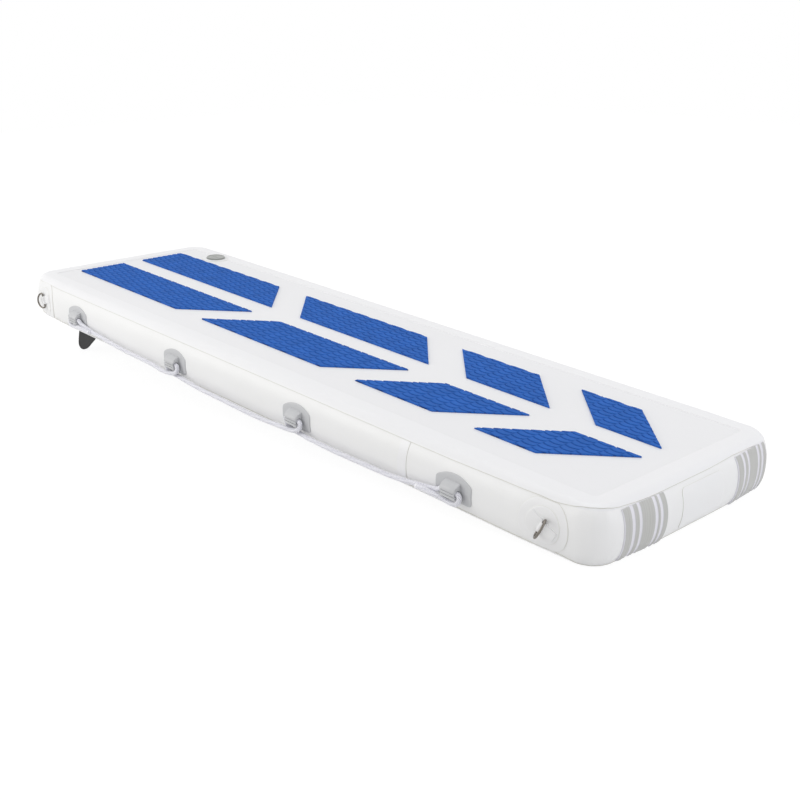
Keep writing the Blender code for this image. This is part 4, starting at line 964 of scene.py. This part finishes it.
# Each scale is high along its free edge, the arc, and falls to the foot of the next one's edge
def makeScaleTree():
    tree, known = newTree("scaleTree", {
        "Scale Length": "Float", "Scale Width": "Float", "Arc Rise": "Float", "Groove Floor": "Float",
        "Groove Width": "Float", "Groove Depth": "Float", "Side Groove": "Float", "Tilt": "Float",
        "Cut Above": "Float", "Material": "Material",
    })
    position = addNode(tree, "GeometryNodeInputPosition")
    parts = addNode(tree, "ShaderNodeSeparateXYZ", inputs={0: position}, out=None).outputs
    known.update({axis: parts[axis] for axis in "XYZ"})
    addRun(tree, mathNode, known, (
        ("column", "DIVIDE", "X", "Scale Length"), ("column", "ROUND", "column"),
        ("middle", "MULTIPLY", "column", "Scale Length"), ("u", "SUBTRACT", "X", "middle"),
        ("share", "DIVIDE", "u", "Scale Length"), ("square", "MULTIPLY", "share", "share"),
        ("arc", "MULTIPLY", "square", "Arc Rise"), ("arc", "MULTIPLY", "arc", 4.0),
        ("odd", "FLOORED_MODULO", "column", 2.0), ("half", "MULTIPLY", "odd", "Scale Width"),
        ("half", "MULTIPLY", "half", 0.5), ("row", "SUBTRACT", "Y", "arc"), ("row", "ADD", "row", "half"),
        ("row", "DIVIDE", "row", "Scale Width"), ("row", "FRACT", "row"),
        ("low", "SUBTRACT", 1.0, "row"), ("toArc", "MULTIPLY", "low", "Scale Width"),
        ("toSide", "ABSOLUTE", "share"), ("toSide", "SUBTRACT", 0.5, "toSide"),
        ("toSide", "MULTIPLY", "toSide", "Scale Length"),
    ))
    for cut, distance in (("arcCut", "toArc"), ("sideCut", "toSide")):
        known[cut] = addNode(tree, "ShaderNodeMapRange", {"interpolation_type": "SMOOTHSTEP"}, {
            "Value": known[distance], 1: known["Groove Floor"], 2: known["Groove Width"], 3: 1.0, 4: 0.0,
        })
    addRun(tree, mathNode, known, (
        ("shallow", "MULTIPLY", "sideCut", "Side Groove"), ("groove", "MAXIMUM", "arcCut", "shallow"),
        ("fall", "MULTIPLY", "row", "Tilt"), ("drop", "MULTIPLY_ADD", "groove", "Groove Depth", "fall"),
        ("above", "GREATER_THAN", "Z", "Cut Above"), ("drop", "MULTIPLY", "drop", "above"),
        ("down", "MULTIPLY", "drop", -1.0),
    ))
    offset = addNode(tree, "ShaderNodeCombineXYZ", inputs={"Z": known["down"]})
    routed = storeAndMove(tree, known["Geometry"], "groove", known["groove"], offset)
    return closeTree(tree, routed, known["Material"])


def buildPads(s):
    scaleTree = makeScaleTree()
    for side, hand in bothSides:
        start = s["rowStart"]
        for number, length in enumerate(s["lengths"], 1):
            far = (start, start if number == 1 else start + s["slant"])
            near = (start + length, start + length + s["slant"])
            pad = buildPad(f"deckPad.{hand}.{number}", side, far, near, scaleTree, s)
            settle(pad, [f"deck_pad_{hand}_{number}"])
            start += length + s["gap"]
    print("deck pads routed")


# One pad: far and near hold its ends' places at the outer and the inner edge
def buildPad(name, side, far, near, scaleTree, s):
    width = s["outerEdge"] - s["innerEdge"]
    reach = max(near[0] - far[0], near[1] - far[1])
    rim = np.array(s["rim"])
    along, across = (
        np.concatenate([rim / size, np.linspace(0, 1, int(size / s["step"]))[2:-2], 1 - rim[::-1] / size])
        for size in (reach, width)
    )
    a, t = np.meshgrid(along, across, indexing="ij")
    x = (far[0] + (far[1] - far[0]) * t) * (1 - a) + (near[0] + (near[1] - near[0]) * t) * a
    y = side * (s["outerEdge"] - width * t)
    distance = np.minimum(np.minimum(a, 1 - a) * reach, np.minimum(t, 1 - t) * width)
    drop = s["rimDrop"] * (1 - smooth(distance / s["rimReach"]))
    columns, rows = x.shape
    # Wall rings and a flat underside close the form
    border = [(i, 0) for i in range(columns)] + [(columns - 1, r) for r in range(1, rows)]
    border += [(i, rows - 1) for i in range(columns - 2, -1, -1)] + [(0, r) for r in range(rows - 2, 0, -1)]
    points = [np.stack([x, y, s["top"] - drop], -1).reshape(-1, 3)]
    faces = gridFaces(0, columns, rows)
    last = [i * rows + r for i, r in border]
    total = columns * rows
    for height in s["wallHeights"]:
        points.append(np.array([(x[i, r], y[i, r], height) for i, r in border]))
        this = list(range(total, total + len(border)))
        faces += [(last[k], last[k - 1], this[k - 1], this[k]) for k in range(len(border))]
        last, total = this, total + len(border)
    faces.append(tuple(last))
    source = makeMesh("padBlank", np.concatenate(points), faces, padFoam, sharpAngle=None)
    return growPiece(name, source, scaleTree, {
        "Scale Length": s["scaleLength"], "Scale Width": s["scaleWidth"], "Arc Rise": s["arcRise"],
        "Groove Floor": s["grooveFloor"], "Groove Width": s["grooveWidth"], "Groove Depth": s["grooveDepth"],
        "Side Groove": s["sideGroove"], "Tilt": s["tilt"], "Cut Above": s["cutAbove"], "Material": padFoam,
    })


buildPads(padSettings)

# Rope holders: a thin foot glued to the wall with a grooved, bored block moulded on it
holderSettings = {
    "footWidth": 0.095,
    "footBase": 0.0305,
    "footShoulder": 0.072,
    "footRise": 0.0152,
    "footCorner": 0.010,
    "footShoulderRound": 0.011,
    "footSpacing": 0.0022,
    "footMiddle": (0.0, 0.060),
    "footThickness": 0.0017,
    "footEdge": 0.0012,
    "fanSteps": 8,
    "softenRounds": 6,
    "blockWidth": 0.039,
    "blockSpacing": 0.0009,
    "edgeRound": 0.0010,
    # How far the edge's rounding has gone, and how deep, at its middle ring
    "edgeEase": (0.35, 0.3),
    "boreFlare": 0.7,
    "boreRadius": 0.0064,
    "bore": (0.010, 0.0542),
    "backHeights": (0.0734, 0.0420, 9),
    "backLift": 0.0008,
    # Front of the block from its foot up, as (out from the side, height)
    "front": (
        (0.0164, 0.0420), (0.0176, 0.0423), (0.0184, 0.0431), (0.0187, 0.0442), (0.0188, 0.0480),
        (0.0168, 0.0487), (0.0166, 0.0497), (0.0190, 0.0504), (0.0195, 0.0520), (0.0196, 0.0548),
        (0.0176, 0.0554), (0.0175, 0.0564), (0.0197, 0.0572), (0.0198, 0.0596), (0.0189, 0.0624),
        (0.0171, 0.0652), (0.0144, 0.0678), (0.0110, 0.0701), (0.0070, 0.0719), (0.0030, 0.0731),
    ),
}


# Rounded lower corners, straight sides and a low arch, softened at the shoulders
def footOutline(s):
    half, rise, steps = s["footWidth"] / 2, s["footRise"], s["fanSteps"]
    radius = (half ** 2 + rise ** 2) / (2 * rise)
    centre = s["footShoulder"] + rise - radius
    spread = math.asin(half / radius)
    round_ = s["footCorner"]
    inner, level = half - round_, s["footBase"] + round_
    outline = []
    for across, first in ((-inner, math.pi), (inner, 1.5 * math.pi)):
        for turn in np.linspace(first, first + math.pi / 2, steps + 1):
            outline.append((across + round_ * math.cos(turn), level + round_ * math.sin(turn)))
    for turn in np.linspace(spread, -spread, 2 * steps + 1):
        outline.append((radius * math.sin(turn), centre + radius * math.cos(turn)))
    rounds = s["softenRounds"]
    soft = softened(evenOutline(outline, s["footShoulderRound"] / rounds), rounds)
    return evenOutline(soft, s["footSpacing"])


def buildHolders(s):
    foot = footOutline(s)
    for side, hand in bothSides:
        for number, x in enumerate(lifelineSettings["holderX"], 1):
            points, faces, _ = patchParts(
                foot, s["footMiddle"], placeOnSide(side, x), s["footThickness"], edge=s["footEdge"])
            block, blockFaces = holderBlock(side, x, s, len(points))
            holder = makeMesh(
                f"ropeHolder.{hand}.{number}", np.concatenate([points, block]), faces + blockFaces,
                holderVinyl, sharpAngle=50.0,
            )
            settle(holder, [f"rope_holder_{hand}_{number}"])
    print("rope holders moulded")


# Block as rings of its section along x, with the bore through it
def holderBlock(side, x, s, first):
    back = skinPoints(sideMiddleRun, angleAt(np.linspace(*s["backHeights"])), 0.0, s["backLift"])
    outline = evenOutline(list(s["front"]) + [(p[1] - halfWidth, p[2]) for p in back], s["blockSpacing"])
    bore = np.array(s["bore"])
    away = outline - bore
    circle = bore + s["boreRadius"] * away / np.linalg.norm(away, axis=1)[:, None]
    inward = outline.mean(0) - outline
    r, half = s["edgeRound"], s["blockWidth"] / 2
    inset = outline + inward / np.linalg.norm(inward, axis=1)[:, None] * r
    ease, depth = s["edgeEase"]
    eased = outline * (1 - ease) + inset * ease
    flare = bore + (circle - bore) * (1 + s["boreFlare"] * r / s["boreRadius"])
    rings = [
        (inset, -half), (eased, -half + depth * r), (outline, -half + r), (outline, half - r),
        (eased, half - depth * r), (inset, half), (flare, half), (circle, half - r), (circle, -half + r),
        (flare, -half),
    ]
    points = [
        np.stack([np.full(len(ring), x + u), side * (halfWidth + ring[:, 0]), ring[:, 1]], 1)
        for ring, u in rings
    ]
    return np.concatenate(points), ringFaces(first, len(rings), len(outline), closed=True)


buildHolders(holderSettings)

# D-rings on glued discs, each held by a sewn-down webbing strap
ringSettings = {
    "wire": 0.0048,
    "wireSides": 16,
    "halfWidth": 0.0205,
    "reach": 0.0240,
    "corner": 0.005,
    "cornerSteps": 8,
    "arcSteps": 33,
    "barHeight": 0.0028,
    # Two discs, one on the other: radius, thickness and how far each sinks
    "discs": ((0.0555, 0.0014, 0.0002), (0.0375, 0.0021, -0.0011)),
    "discSteps": 120,
    "discRings": 12,
    "discEdge": 0.0010,
    "discLimit": 0.1078,
    "strapWidth": 0.022,
    "strapHalf": 0.031,
    "strapThickness": 0.0015,
    "strapSeat": 0.0021,
    "strapSlack": 0.0004,
    # Where the strap leaves the wall, how it lifts, and how far its arch wraps the bar
    "strapTail": (0.0075, 16),
    "strapLift": ((0.0056, 0.0002), (0.0044, 0.0009)),
    "strapWrap": (0.1, 15),
    "strapBlend": (0.0040, 0.006),
    # Pivot, bar, strap and outward directions on the left side, and the ring's turn at rest
    "places": {
        "near": ((0.918209, -0.307442, 0.06), (0.483452, 0.03626, 0.87462), (0.8722, 0.0654, -0.4848),
                 (0.0748, -0.9972, 0.0), 26.0),
        "far": ((-0.940209, -0.305792, 0.06), (-0.341062, 0.02558, 0.939692), (0.9371, -0.0703, 0.342),
                (-0.0748, -0.9972, 0.0), -70.0),
    },
}


# Wall heights against the run measured up the wall from its middle
wallAngles = np.linspace(-90.0, 90.0, 721)
wallLine = skinPoints(sideMiddleRun, wallAngles)
wallRuns = np.concatenate([[0.0], np.cumsum(np.linalg.norm(np.diff(wallLine, axis=0), axis=1))])
wallRuns = wallRuns - np.interp(0.0, wallAngles, wallRuns)


# A disc bent over the wall stays round along it, and stops at the seam tapes
def discOutline(radius, s):
    turns = np.linspace(0, 2 * math.pi, s["discSteps"], endpoint=False)
    height = np.interp(radius * np.sin(turns), wallRuns, wallLine[:, 2])
    limit = s["discLimit"] - halfHeight
    height = halfHeight + np.clip(height - halfHeight, -limit, limit)
    return np.stack([radius * np.cos(turns), height], 1)


def ringLine(s):
    r, half = s["corner"], s["halfWidth"]
    corner = [
        (half - r + r * math.sin(t), r - r * math.cos(t))
        for t in np.linspace(0, math.pi / 2, s["cornerSteps"])
    ]
    turns = np.linspace(0, math.pi, s["arcSteps"])[1:-1]
    arc = [(half * math.cos(t), r + (s["reach"] - r) * math.sin(t)) for t in turns]
    return np.array(corner + arc + [(-u, v) for u, v in reversed(corner)])


def buildRings(s):
    wireTree = makeWireTree()
    line = ringLine(s)
    for side, hand in bothSides:
        mirror = np.array((1.0, -side, 1.0))
        for end, (*directions, turn) in s["places"].items():
            pivot, bar, along, normal = (np.array(v) * mirror for v in directions)
            outward = normal * math.cos(math.radians(turn)) + along * math.sin(math.radians(turn))
            path = pivot + line[:, :1] * bar + line[:, 1:] * outward
            ring = growPiece(f"dRing.{hand}.{end}", makePath(path, loop=True), wireTree, {
                "Radius": s["wire"] / 2, "Sides": s["wireSides"], "Material": ringSteel,
            })
            settle(ring, [f"dring_{hand}_{end}"], f"ring_{hand}_{end}")
            buildDiscs(side, hand, end, pivot[0], s)
            buildStrap(hand, end, side, pivot - normal * s["barHeight"], bar, along, normal, s)
    print("D-rings and straps fitted")


def buildDiscs(side, hand, end, x, s):
    parts, faces, marks, total = [], [], [], 0
    for radius, thickness, sink in s["discs"]:
        points, more, edges = patchParts(
            discOutline(radius, s), (0.0, halfHeight), placeOnSide(side, x), thickness,
            sink=sink, edge=s["discEdge"], rings=s["discRings"], first=total,
        )
        parts.append(points)
        faces += more
        marks.append(edges)
        total += len(points)
    patch = makeMesh(
        f"dRingPatch.{hand}.{end}", np.concatenate(parts), faces, patchCloth, {"edge": np.concatenate(marks)})
    settle(patch, [f"dring_patch_{hand}_{end}"])


# Strap: tails glued down along the wall, an arch over the ring's bar
def buildStrap(hand, end, side, seat, bar, along, normal, s):
    thick = s["strapThickness"]
    radius = s["wire"] / 2 + s["strapSlack"] + thick / 2
    leave, tailSteps = s["strapTail"]
    extra, wrapSteps = s["strapWrap"]
    path = [(u, 0.0) for u in np.linspace(s["strapHalf"], leave, tailSteps)] + list(s["strapLift"])
    tail = [(-u, h) for u, h in reversed(path)]
    path += [(radius * math.cos(t), s["barHeight"] + radius * math.sin(t))
             for t in np.linspace(-extra, math.pi + extra, wrapSteps)]
    path = np.array(path + tail)
    step = np.gradient(path, axis=0)
    step = step / np.linalg.norm(step, axis=1)[:, None]
    v = np.linspace(-1, 1, 15)[None, :] * s["strapWidth"] / 2
    low, blend = s["strapBlend"]
    grids = []
    for face in (0.5, -0.5):
        u = path[:, 0] + face * thick * step[:, 1]
        h = path[:, 1] - face * thick * step[:, 0]
        flat = seat + u[:, None, None] * along + v[..., None] * bar
        wall = skinPoints(side * (sideMiddleRun - flat[..., 0]), angleAt(flat[..., 2]), 0.0,
                          (h + s["strapSeat"] + thick / 2)[:, None])
        arch = flat + h[:, None, None] * normal
        share = smooth((np.abs(u) - low) / blend)[:, None, None]
        grids.append(arch * (1 - share) + wall * share)
    strap = makeSheet(f"dRingStrap.{hand}.{end}", grids[0], grids[1], patchCloth)
    settle(strap, [f"dring_strap_{hand}_{end}"])


buildRings(ringSettings)

# Near end: ribbed rubbing strips and the plain panel between them
trimSettings = {
    "centre": 0.0095,
    "inner": 0.119,
    "width": 0.118,
    "heights": (0.0090, 0.1095),
    "base": 0.0019,
    "sink": 0.0002,
    "rib": 0.0014,
    "shoulder": 0.014,
    # Ribs across the strip, as shares of its width
    "bands": ((0.004, 0.18), (0.24, 0.345), (0.395, 0.695), (0.75, 0.82), (0.872, 0.996)),
    "columns": 150,
    "rows": 40,
    "rowMargin": 0.003,
    # From the strip's top or bottom edge in: distance, share of the base's lift, share of the ribs
    "edgeRows": ((0.0, 0.55, 0.0), (0.0004, 0.9, 0.6), (0.0014, 1.0, 1.0)),
    "panelHalf": 0.069,
    "panelHeights": (0.0185, 0.1025),
    "panelCorner": 0.012,
    "panelSpacing": 0.0025,
    "panelThickness": 0.0011,
    "panelEdge": 0.0008,
}


# Raises ribs on a flat strip: its points' "share" runs over its width, and "face" is how far ribs rise
def makeRibTree(bands):
    tree, known = newTree("ribTree", {"Rib Height": "Float", "Shoulder": "Float", "Material": "Material"})
    for label in ("share", "face"):
        known[label] = addNode(
            tree, "GeometryNodeInputNamedAttribute", {"data_type": "FLOAT"}, {"Name": label})
    known["level"] = 0.0
    for low, high in bands:
        addRun(tree, mathNode, known, (
            ("rise", "ADD", "Shoulder", low), ("fall", "SUBTRACT", high, "Shoulder"),
        ))
        spans = (("up", low, known["rise"], 0.0), ("down", known["fall"], high, 1.0))
        for label, first, last, start in spans:
            known[label] = addNode(tree, "ShaderNodeMapRange", {"interpolation_type": "SMOOTHSTEP"}, {
                "Value": known["share"], 1: first, 2: last, 3: start, 4: 1.0 - start,
            })
        addRun(tree, mathNode, known, (
            ("band", "MULTIPLY", "up", "down"), ("level", "MAXIMUM", "level", "band"),
        ))
    addRun(tree, mathNode, known, (
        ("level", "MULTIPLY", "level", "face"), ("height", "MULTIPLY", "level", "Rib Height"),
    ))
    ribbed = storeAndMove(
        tree, known["Geometry"], "band", known["level"], alongNormal(tree, known["height"]))
    return closeTree(tree, ribbed, known["Material"])


def buildStrips(s):
    ribTree = makeRibTree(s["bands"])
    low, high = s["heights"]
    inward, lifts, faces = np.array(s["edgeRows"]).T
    between = np.ones(s["rows"])
    heights = np.concatenate([
        low + inward, np.linspace(low + s["rowMargin"], high - s["rowMargin"], s["rows"]),
        high - inward[::-1],
    ])
    lifts, faces = (np.concatenate([values, between, values[::-1]]) for values in (lifts, faces))
    shares = np.unique(np.concatenate([np.linspace(0, 1, s["columns"]), np.ravel(s["bands"])]))[:, None]
    for side, hand in bothSides:
        first = s["inner"] if side > 0 else -s["inner"] - s["width"]
        runs = s["centre"] + first + s["width"] * shares
        levels = (s["base"] * lifts, -s["sink"])
        outer, inner = (skinPoints(runs, angleAt(heights), 0.0, lift) for lift in levels)
        marks = {
            label: np.broadcast_to(values, outer.shape[:2])
            for label, values in (("share", shares), ("across", runs), ("face", faces))
        }
        source = makeSheet("stripBlank", outer, inner, stripVinyl, attributes=marks)
        # The strip's back stays flat
        rise = np.zeros(len(source.data.vertices), np.float32)
        rise[:len(rise) // 2] = marks["face"].ravel()
        source.data.attributes["face"].data.foreach_set("value", rise)
        strip = growPiece(f"rubbingStrip.{hand}", source, ribTree, {
            "Rib Height": s["rib"], "Shoulder": s["shoulder"], "Material": stripVinyl,
        })
        settle(strip, [f"rubbing_strip_{hand}"])


def buildTrim(s):
    buildStrips(s)
    low, high = (height - halfHeight for height in s["panelHeights"])
    half = s["panelHalf"]
    middle = (s["centre"], halfHeight)
    outline = roundedBox(middle, (-half, low), (half, high), s["panelCorner"], 8)
    points, faces, edges = patchParts(
        evenOutline(outline, s["panelSpacing"]), middle, placeOnNearEnd, s["panelThickness"],
        edge=s["panelEdge"],
    )
    settle(makeMesh("endPanel", points, faces, patchCloth, {"edge": edges}), ["end_panel"])
    print("near end trimmed")


buildTrim(trimSettings)

# Air valve: glued patch, flanged body, cap with two finger pockets
valveSettings = {
    "centre": (-0.846, 0.224),
    "patchRadius": 0.042,
    "patchLift": 0.0012,
    "patchEdge": 0.0010,
    "patchRings": 6,
    "patchSteps": 96,
    "neckHole": (0.0252, -0.004, 0.004),
    "steps": 72,
    "sharpAngle": 30.0,
    "bodyProfile": (
        (0.0250, -0.0235), (0.0250, 0.0015), (0.0283, 0.0015), (0.0285, 0.0017), (0.0285, 0.0025),
        (0.0282, 0.0028), (0.0277, 0.0029), (0.0175, 0.0029), (0.0172, 0.0027), (0.0170, 0.0024),
        (0.0170, -0.0071), (0.0031, -0.0071), (0.0031, -0.0091), (0.0135, -0.0091), (0.0135, -0.0235),
    ),
    "airHoles": 4,
    "airHoleCircle": 0.0085,
    "airHole": (0.0032, -0.011, -0.005),
    "airHoleSteps": 20,
    "capProfile": (
        (0.0, 0.0043), (0.0150, 0.0043), (0.0150, 0.0017), (0.0164, 0.0017), (0.0164, 0.0043),
        (0.0238, 0.0043), (0.0238, 0.0032), (0.0269, 0.0032), (0.0272, 0.0035), (0.0272, 0.0051),
        (0.0270, 0.0057), (0.0264, 0.0061), (0.0256, 0.0062), (0.0, 0.0062),
    ),
    "pocketRadius": 0.0215,
    "pocketMiddle": 0.012,
    "pocketSteps": 30,
    # Height and flare of a pocket's rings, from its floor up
    "pocketHeights": ((0.0054, 0.0), (0.0056, 0.0), (0.0064, 0.0007), (0.0085, 0.0007)),
    "gripWidth": 0.009,
}


# Turned piece of a profile of radii and heights above the deck
def makeTurned(name, profile, centre, steps, material, sharpAngle=40.0):
    points, rings, faces = [], [], []
    for radius, height in profile:
        if radius == 0.0:
            rings.append([len(points)] * steps)
            points.append((centre[0], centre[1], deckTop + height))
            continue
        rings.append(list(range(len(points), len(points) + steps)))
        for turn in np.linspace(0, 2 * math.pi, steps, endpoint=False):
            x, y = centre[0] + radius * math.cos(turn), centre[1] + radius * math.sin(turn)
            points.append((x, y, deckTop + height))
    for k, a in enumerate(rings):
        b = rings[(k + 1) % len(profile)]
        if a[0] == a[-1] and b[0] == b[-1]:
            continue
        for i in range(steps):
            j = (i + 1) % steps
            faces.append(tuple(dict.fromkeys((a[i], a[j], b[j], b[i]))))
    return makeMesh(name, points, faces, material, sharpAngle=sharpAngle)


# Solid cylinder that cuts a hole
def makeDrill(name, hole, centre, steps, material):
    radius, low, high = hole
    return makeTurned(name, ((0, low), (radius, low), (radius, high), (0, high)), centre, steps, material)


# Cuts a piece with others, then drops them
def cutAway(piece, cutters):
    for cutter in cutters:
        modifier = piece.modifiers.new("cut", "BOOLEAN")
        modifier.object, modifier.operation, modifier.solver = cutter, "DIFFERENCE", "EXACT"
    bpy.context.view_layer.update()
    made = bpy.data.meshes.new_from_object(piece.evaluated_get(bpy.context.evaluated_depsgraph_get()))
    piece.modifiers.clear()
    piece.data = made
    for cutter in cutters:
        bpy.data.objects.remove(cutter)


# Half-round finger pocket on one side of the cap's grip
def makePocket(sign, centre, s):
    start = math.asin(s["gripWidth"] / 2 / s["pocketRadius"])
    arc = np.linspace(start, math.pi - start, s["pocketSteps"])
    outline = s["pocketRadius"] * np.stack([np.cos(arc), sign * np.sin(arc)], 1)
    away = outline - np.array((0.0, sign * s["pocketMiddle"]))
    away = away / np.linalg.norm(away, axis=1)[:, None]
    count, rings = len(outline), len(s["pocketHeights"])
    points = []
    for height, widen in s["pocketHeights"]:
        ring = np.array(centre) + outline + away * widen
        points.append(np.column_stack([ring, np.full(count, deckTop + height)]))
    faces = [tuple(range(count)), tuple(range(rings * count - 1, (rings - 1) * count - 1, -1))]
    return makeMesh("capPocket", np.concatenate(points), faces + ringFaces(0, rings, count), capNylon)


def buildValve(s):
    centre, sharp = s["centre"], s["sharpAngle"]
    turns = np.linspace(0, 2 * math.pi, s["patchSteps"], endpoint=False)
    outline = np.array(centre) + s["patchRadius"] * np.stack([np.cos(turns), np.sin(turns)], 1)
    points, faces, edges = patchParts(
        outline, centre, placeOnDeck, s["patchLift"], edge=s["patchEdge"], rings=s["patchRings"])
    # The patch is a ring round the valve's neck, so its middle stays open
    patch = makeMesh("valvePatch", points, faces, patchCloth, {"edge": edges})
    cutAway(patch, [makeDrill("patchHole", s["neckHole"], centre, s["patchSteps"], patchCloth)])
    settle(patch, ["valve_patch"])
    body = makeTurned("valveBody", s["bodyProfile"], centre, s["steps"], valveNylon, sharp)
    holes = []
    for k in range(s["airHoles"]):
        turn = math.pi * (2 * k + 1) / s["airHoles"]
        reach = s["airHoleCircle"]
        at = (centre[0] + reach * math.cos(turn), centre[1] + reach * math.sin(turn))
        holes.append(makeDrill("airHole", s["airHole"], at, s["airHoleSteps"], valveNylon))
    cutAway(body, holes)
    settle(body, ["valve_body"])
    cap = makeTurned("valveCap", s["capProfile"], centre, s["steps"], capNylon, sharp)
    cutAway(cap, [makePocket(sign, centre, s) for sign in (-1, 1)])
    settle(cap, ["valve_cap"], "cap")
    # The pieces inside are rigid and small: their solids stay and take their real finish
    finishes = {
        "valve_nut": nutNylon, "valve_plunger": valveNylon, "valve_gasket": sealRubber,
        "valve_spring": ringSteel, "valve_cap_seal": sealRubber,
    }
    for node, material in finishes.items():
        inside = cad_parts[node]
        inside.data.materials.clear()
        inside.data.materials.append(material)
    print("valve built")


buildValve(valveSettings)

# Fins under the far end, each in a glued seat
finSettings = {
    "y": 0.215,
    "back": -0.922,
    "length": 0.098,
    "rootShares": (0.13, 0.98),
    "root": -0.0050,
    "neck": -0.0155,
    "drop": -0.0965,
    # From the back edge round the tip to the front, as shares of length and drop
    "blade": (
        (0.103, 0.42), (0.033, 0.67), (0.000, 0.85), (0.008, 0.90), (0.034, 0.945), (0.102, 0.988),
        (0.192, 1.000), (0.299, 0.982), (0.410, 0.932), (0.508, 0.866), (0.640, 0.760), (0.772, 0.648),
        (0.888, 0.553), (0.958, 0.490), (0.990, 0.440), (1.000, 0.370), (0.990, 0.260),
    ),
    "spacing": 0.0022,
    "softenRounds": 5,
    "softenBelow": -0.017,
    "thickness": 0.0070,
    "rim": 0.0036,
    "rimSlope": 0.0012,
    "dish": 0.0009,
    "round": 0.0012,
    "roundEase": 0.3,
    "middle": -0.8676,
    # Plate and boss of the seat: half size, low face, corner, fan steps, spacing, edge, rings and sink
    "plate": ((0.068, 0.0195), -0.0035, 0.0190, 14, 0.003, 0.0015, 4, 0.0002),
    "boss": ((0.05365, 0.0080), -0.0135, 0.004, 6, 0.0025, 0.0018, 3, -0.003),
}


def finOutline(s):
    rear, front = (s["back"] + s["length"] * share for share in s["rootShares"])
    outline = [(front, s["neck"]), (front, s["root"]), (rear, s["root"]), (rear, s["neck"])]
    outline += [(s["back"] + s["length"] * u, s["drop"] * v) for u, v in s["blade"]]
    outline = evenOutline(outline, s["spacing"])
    keepRoot = (outline[:, 1] > s["softenBelow"])[:, None]
    return np.where(keepRoot, outline, softened(outline, s["softenRounds"]))


def buildFins(s):
    outline = finOutline(s)
    centre, count = outline.mean(0), len(outline)
    inward = (centre - outline) / np.linalg.norm(centre - outline, axis=1)[:, None]
    half, edge, ease = s["thickness"] / 2, s["round"], s["roundEase"]
    # Rings from the middle of one face, over the raised rim, to the middle of the other
    steps = ((s["rim"] + s["rimSlope"], half - s["dish"]), (s["rim"], half), (edge, half),
             (edge * ease, half - edge * ease), (0.0, half - edge))
    rings = [(outline + inward * inset, depth) for inset, depth in steps]
    rings += [(ring, -depth) for ring, depth in reversed(rings)]
    faces = ringFaces(0, len(rings), count)
    hub = len(rings) * count
    faces += hubFaces(0, count, hub) + hubFaces(hub - count, count, hub + 1)
    for side, hand in bothSides:
        y = side * s["y"]
        points = [np.stack([r[:, 0], np.full(count, y + d), r[:, 1]], 1) for r, d in rings]
        points += [[(centre[0], y + d, centre[1])] for d in (half - s["dish"], s["dish"] - half)]
        fin = makeMesh(f"fin.{hand}", np.concatenate(points), faces, finRubber, sharpAngle=35.0)
        settle(fin, [f"fin_{hand}"])
        buildFinSeat(hand, y, s)
    print("fins fitted")


# Seat: a rounded plate glued under the deck with a boss that grips the fin's root
def buildFinSeat(hand, y, s):
    middle = (s["middle"], y)
    parts, faces, total = [], [], 0
    for (u, v), low, corner, fan, spacing, edge, rings, sink in (s["plate"], s["boss"]):
        outline = evenOutline(roundedBox(middle, (-u, -v), (u, v), corner, fan), spacing)
        points, more, _ = patchParts(
            outline, middle, placeUnderneath, -low, sink=sink, edge=edge, rings=rings, first=total)
        parts.append(points)
        faces += more
        total += len(points)
    seat = makeMesh(f"finSeat.{hand}", np.concatenate(parts), faces, patchCloth)
    settle(seat, [f"fin_base_{hand}"])


buildFins(finSettings)

# Drop-stitch yarns between the skins, a field of short upright threads
yarnSettings = {
    "length": 2.0,
    "width": 0.50,
    "spacing": 0.016,
    "radius": 0.0006,
    "height": 0.1172,
    "sides": 4,
    "lean": 0.02,
    "turn": 3.14,
    "seed": 3,
}


def makeYarnTree(s):
    tree, given = newTree("yarnTree", {
        "Length": "Float", "Width": "Float", "Count Along": "Int", "Count Across": "Int",
        "Radius": "Float", "Height": "Float", "Sides": "Int", "Seed": "Int", "Material": "Material",
    })
    grid = addNode(tree, "GeometryNodeMeshGrid", inputs={
        "Size X": given["Length"], "Size Y": given["Width"],
        "Vertices X": given["Count Along"], "Vertices Y": given["Count Across"],
    })
    yarn = addNode(tree, "GeometryNodeMeshCylinder", {"fill_type": "NGON"}, {
        "Vertices": given["Sides"], "Radius": given["Radius"], "Depth": given["Height"],
    })
    lean = addNode(tree, "FunctionNodeRandomValue", {"data_type": "FLOAT_VECTOR"}, {
        0: (-s["lean"], -s["lean"], 0.0), 1: (s["lean"], s["lean"], s["turn"]), "Seed": given["Seed"],
    })
    field = addNode(tree, "GeometryNodeInstanceOnPoints", inputs={
        "Points": grid, "Instance": yarn, "Rotation": lean,
    })
    return closeTree(tree, field, given["Material"])


def buildYarns(s):
    source = makeMesh("yarnSeed", [(0, 0, 0), (0.01, 0, 0), (0, 0.01, 0)], [(0, 1, 2)], innerYarn)
    yarns = growPiece("dropStitchYarns", source, makeYarnTree(s), {
        "Length": s["length"], "Width": s["width"], "Count Along": int(s["length"] / s["spacing"]),
        "Count Across": int(s["width"] / s["spacing"]), "Radius": s["radius"], "Height": s["height"],
        "Sides": s["sides"], "Seed": s["seed"], "Material": innerYarn,
    })
    yarns.data.transform(Matrix.Translation((0.0, 0.0, halfHeight)))
    settle(yarns, ["drop_stitch_core"])
    print("drop-stitch yarns set")


buildYarns(yarnSettings)
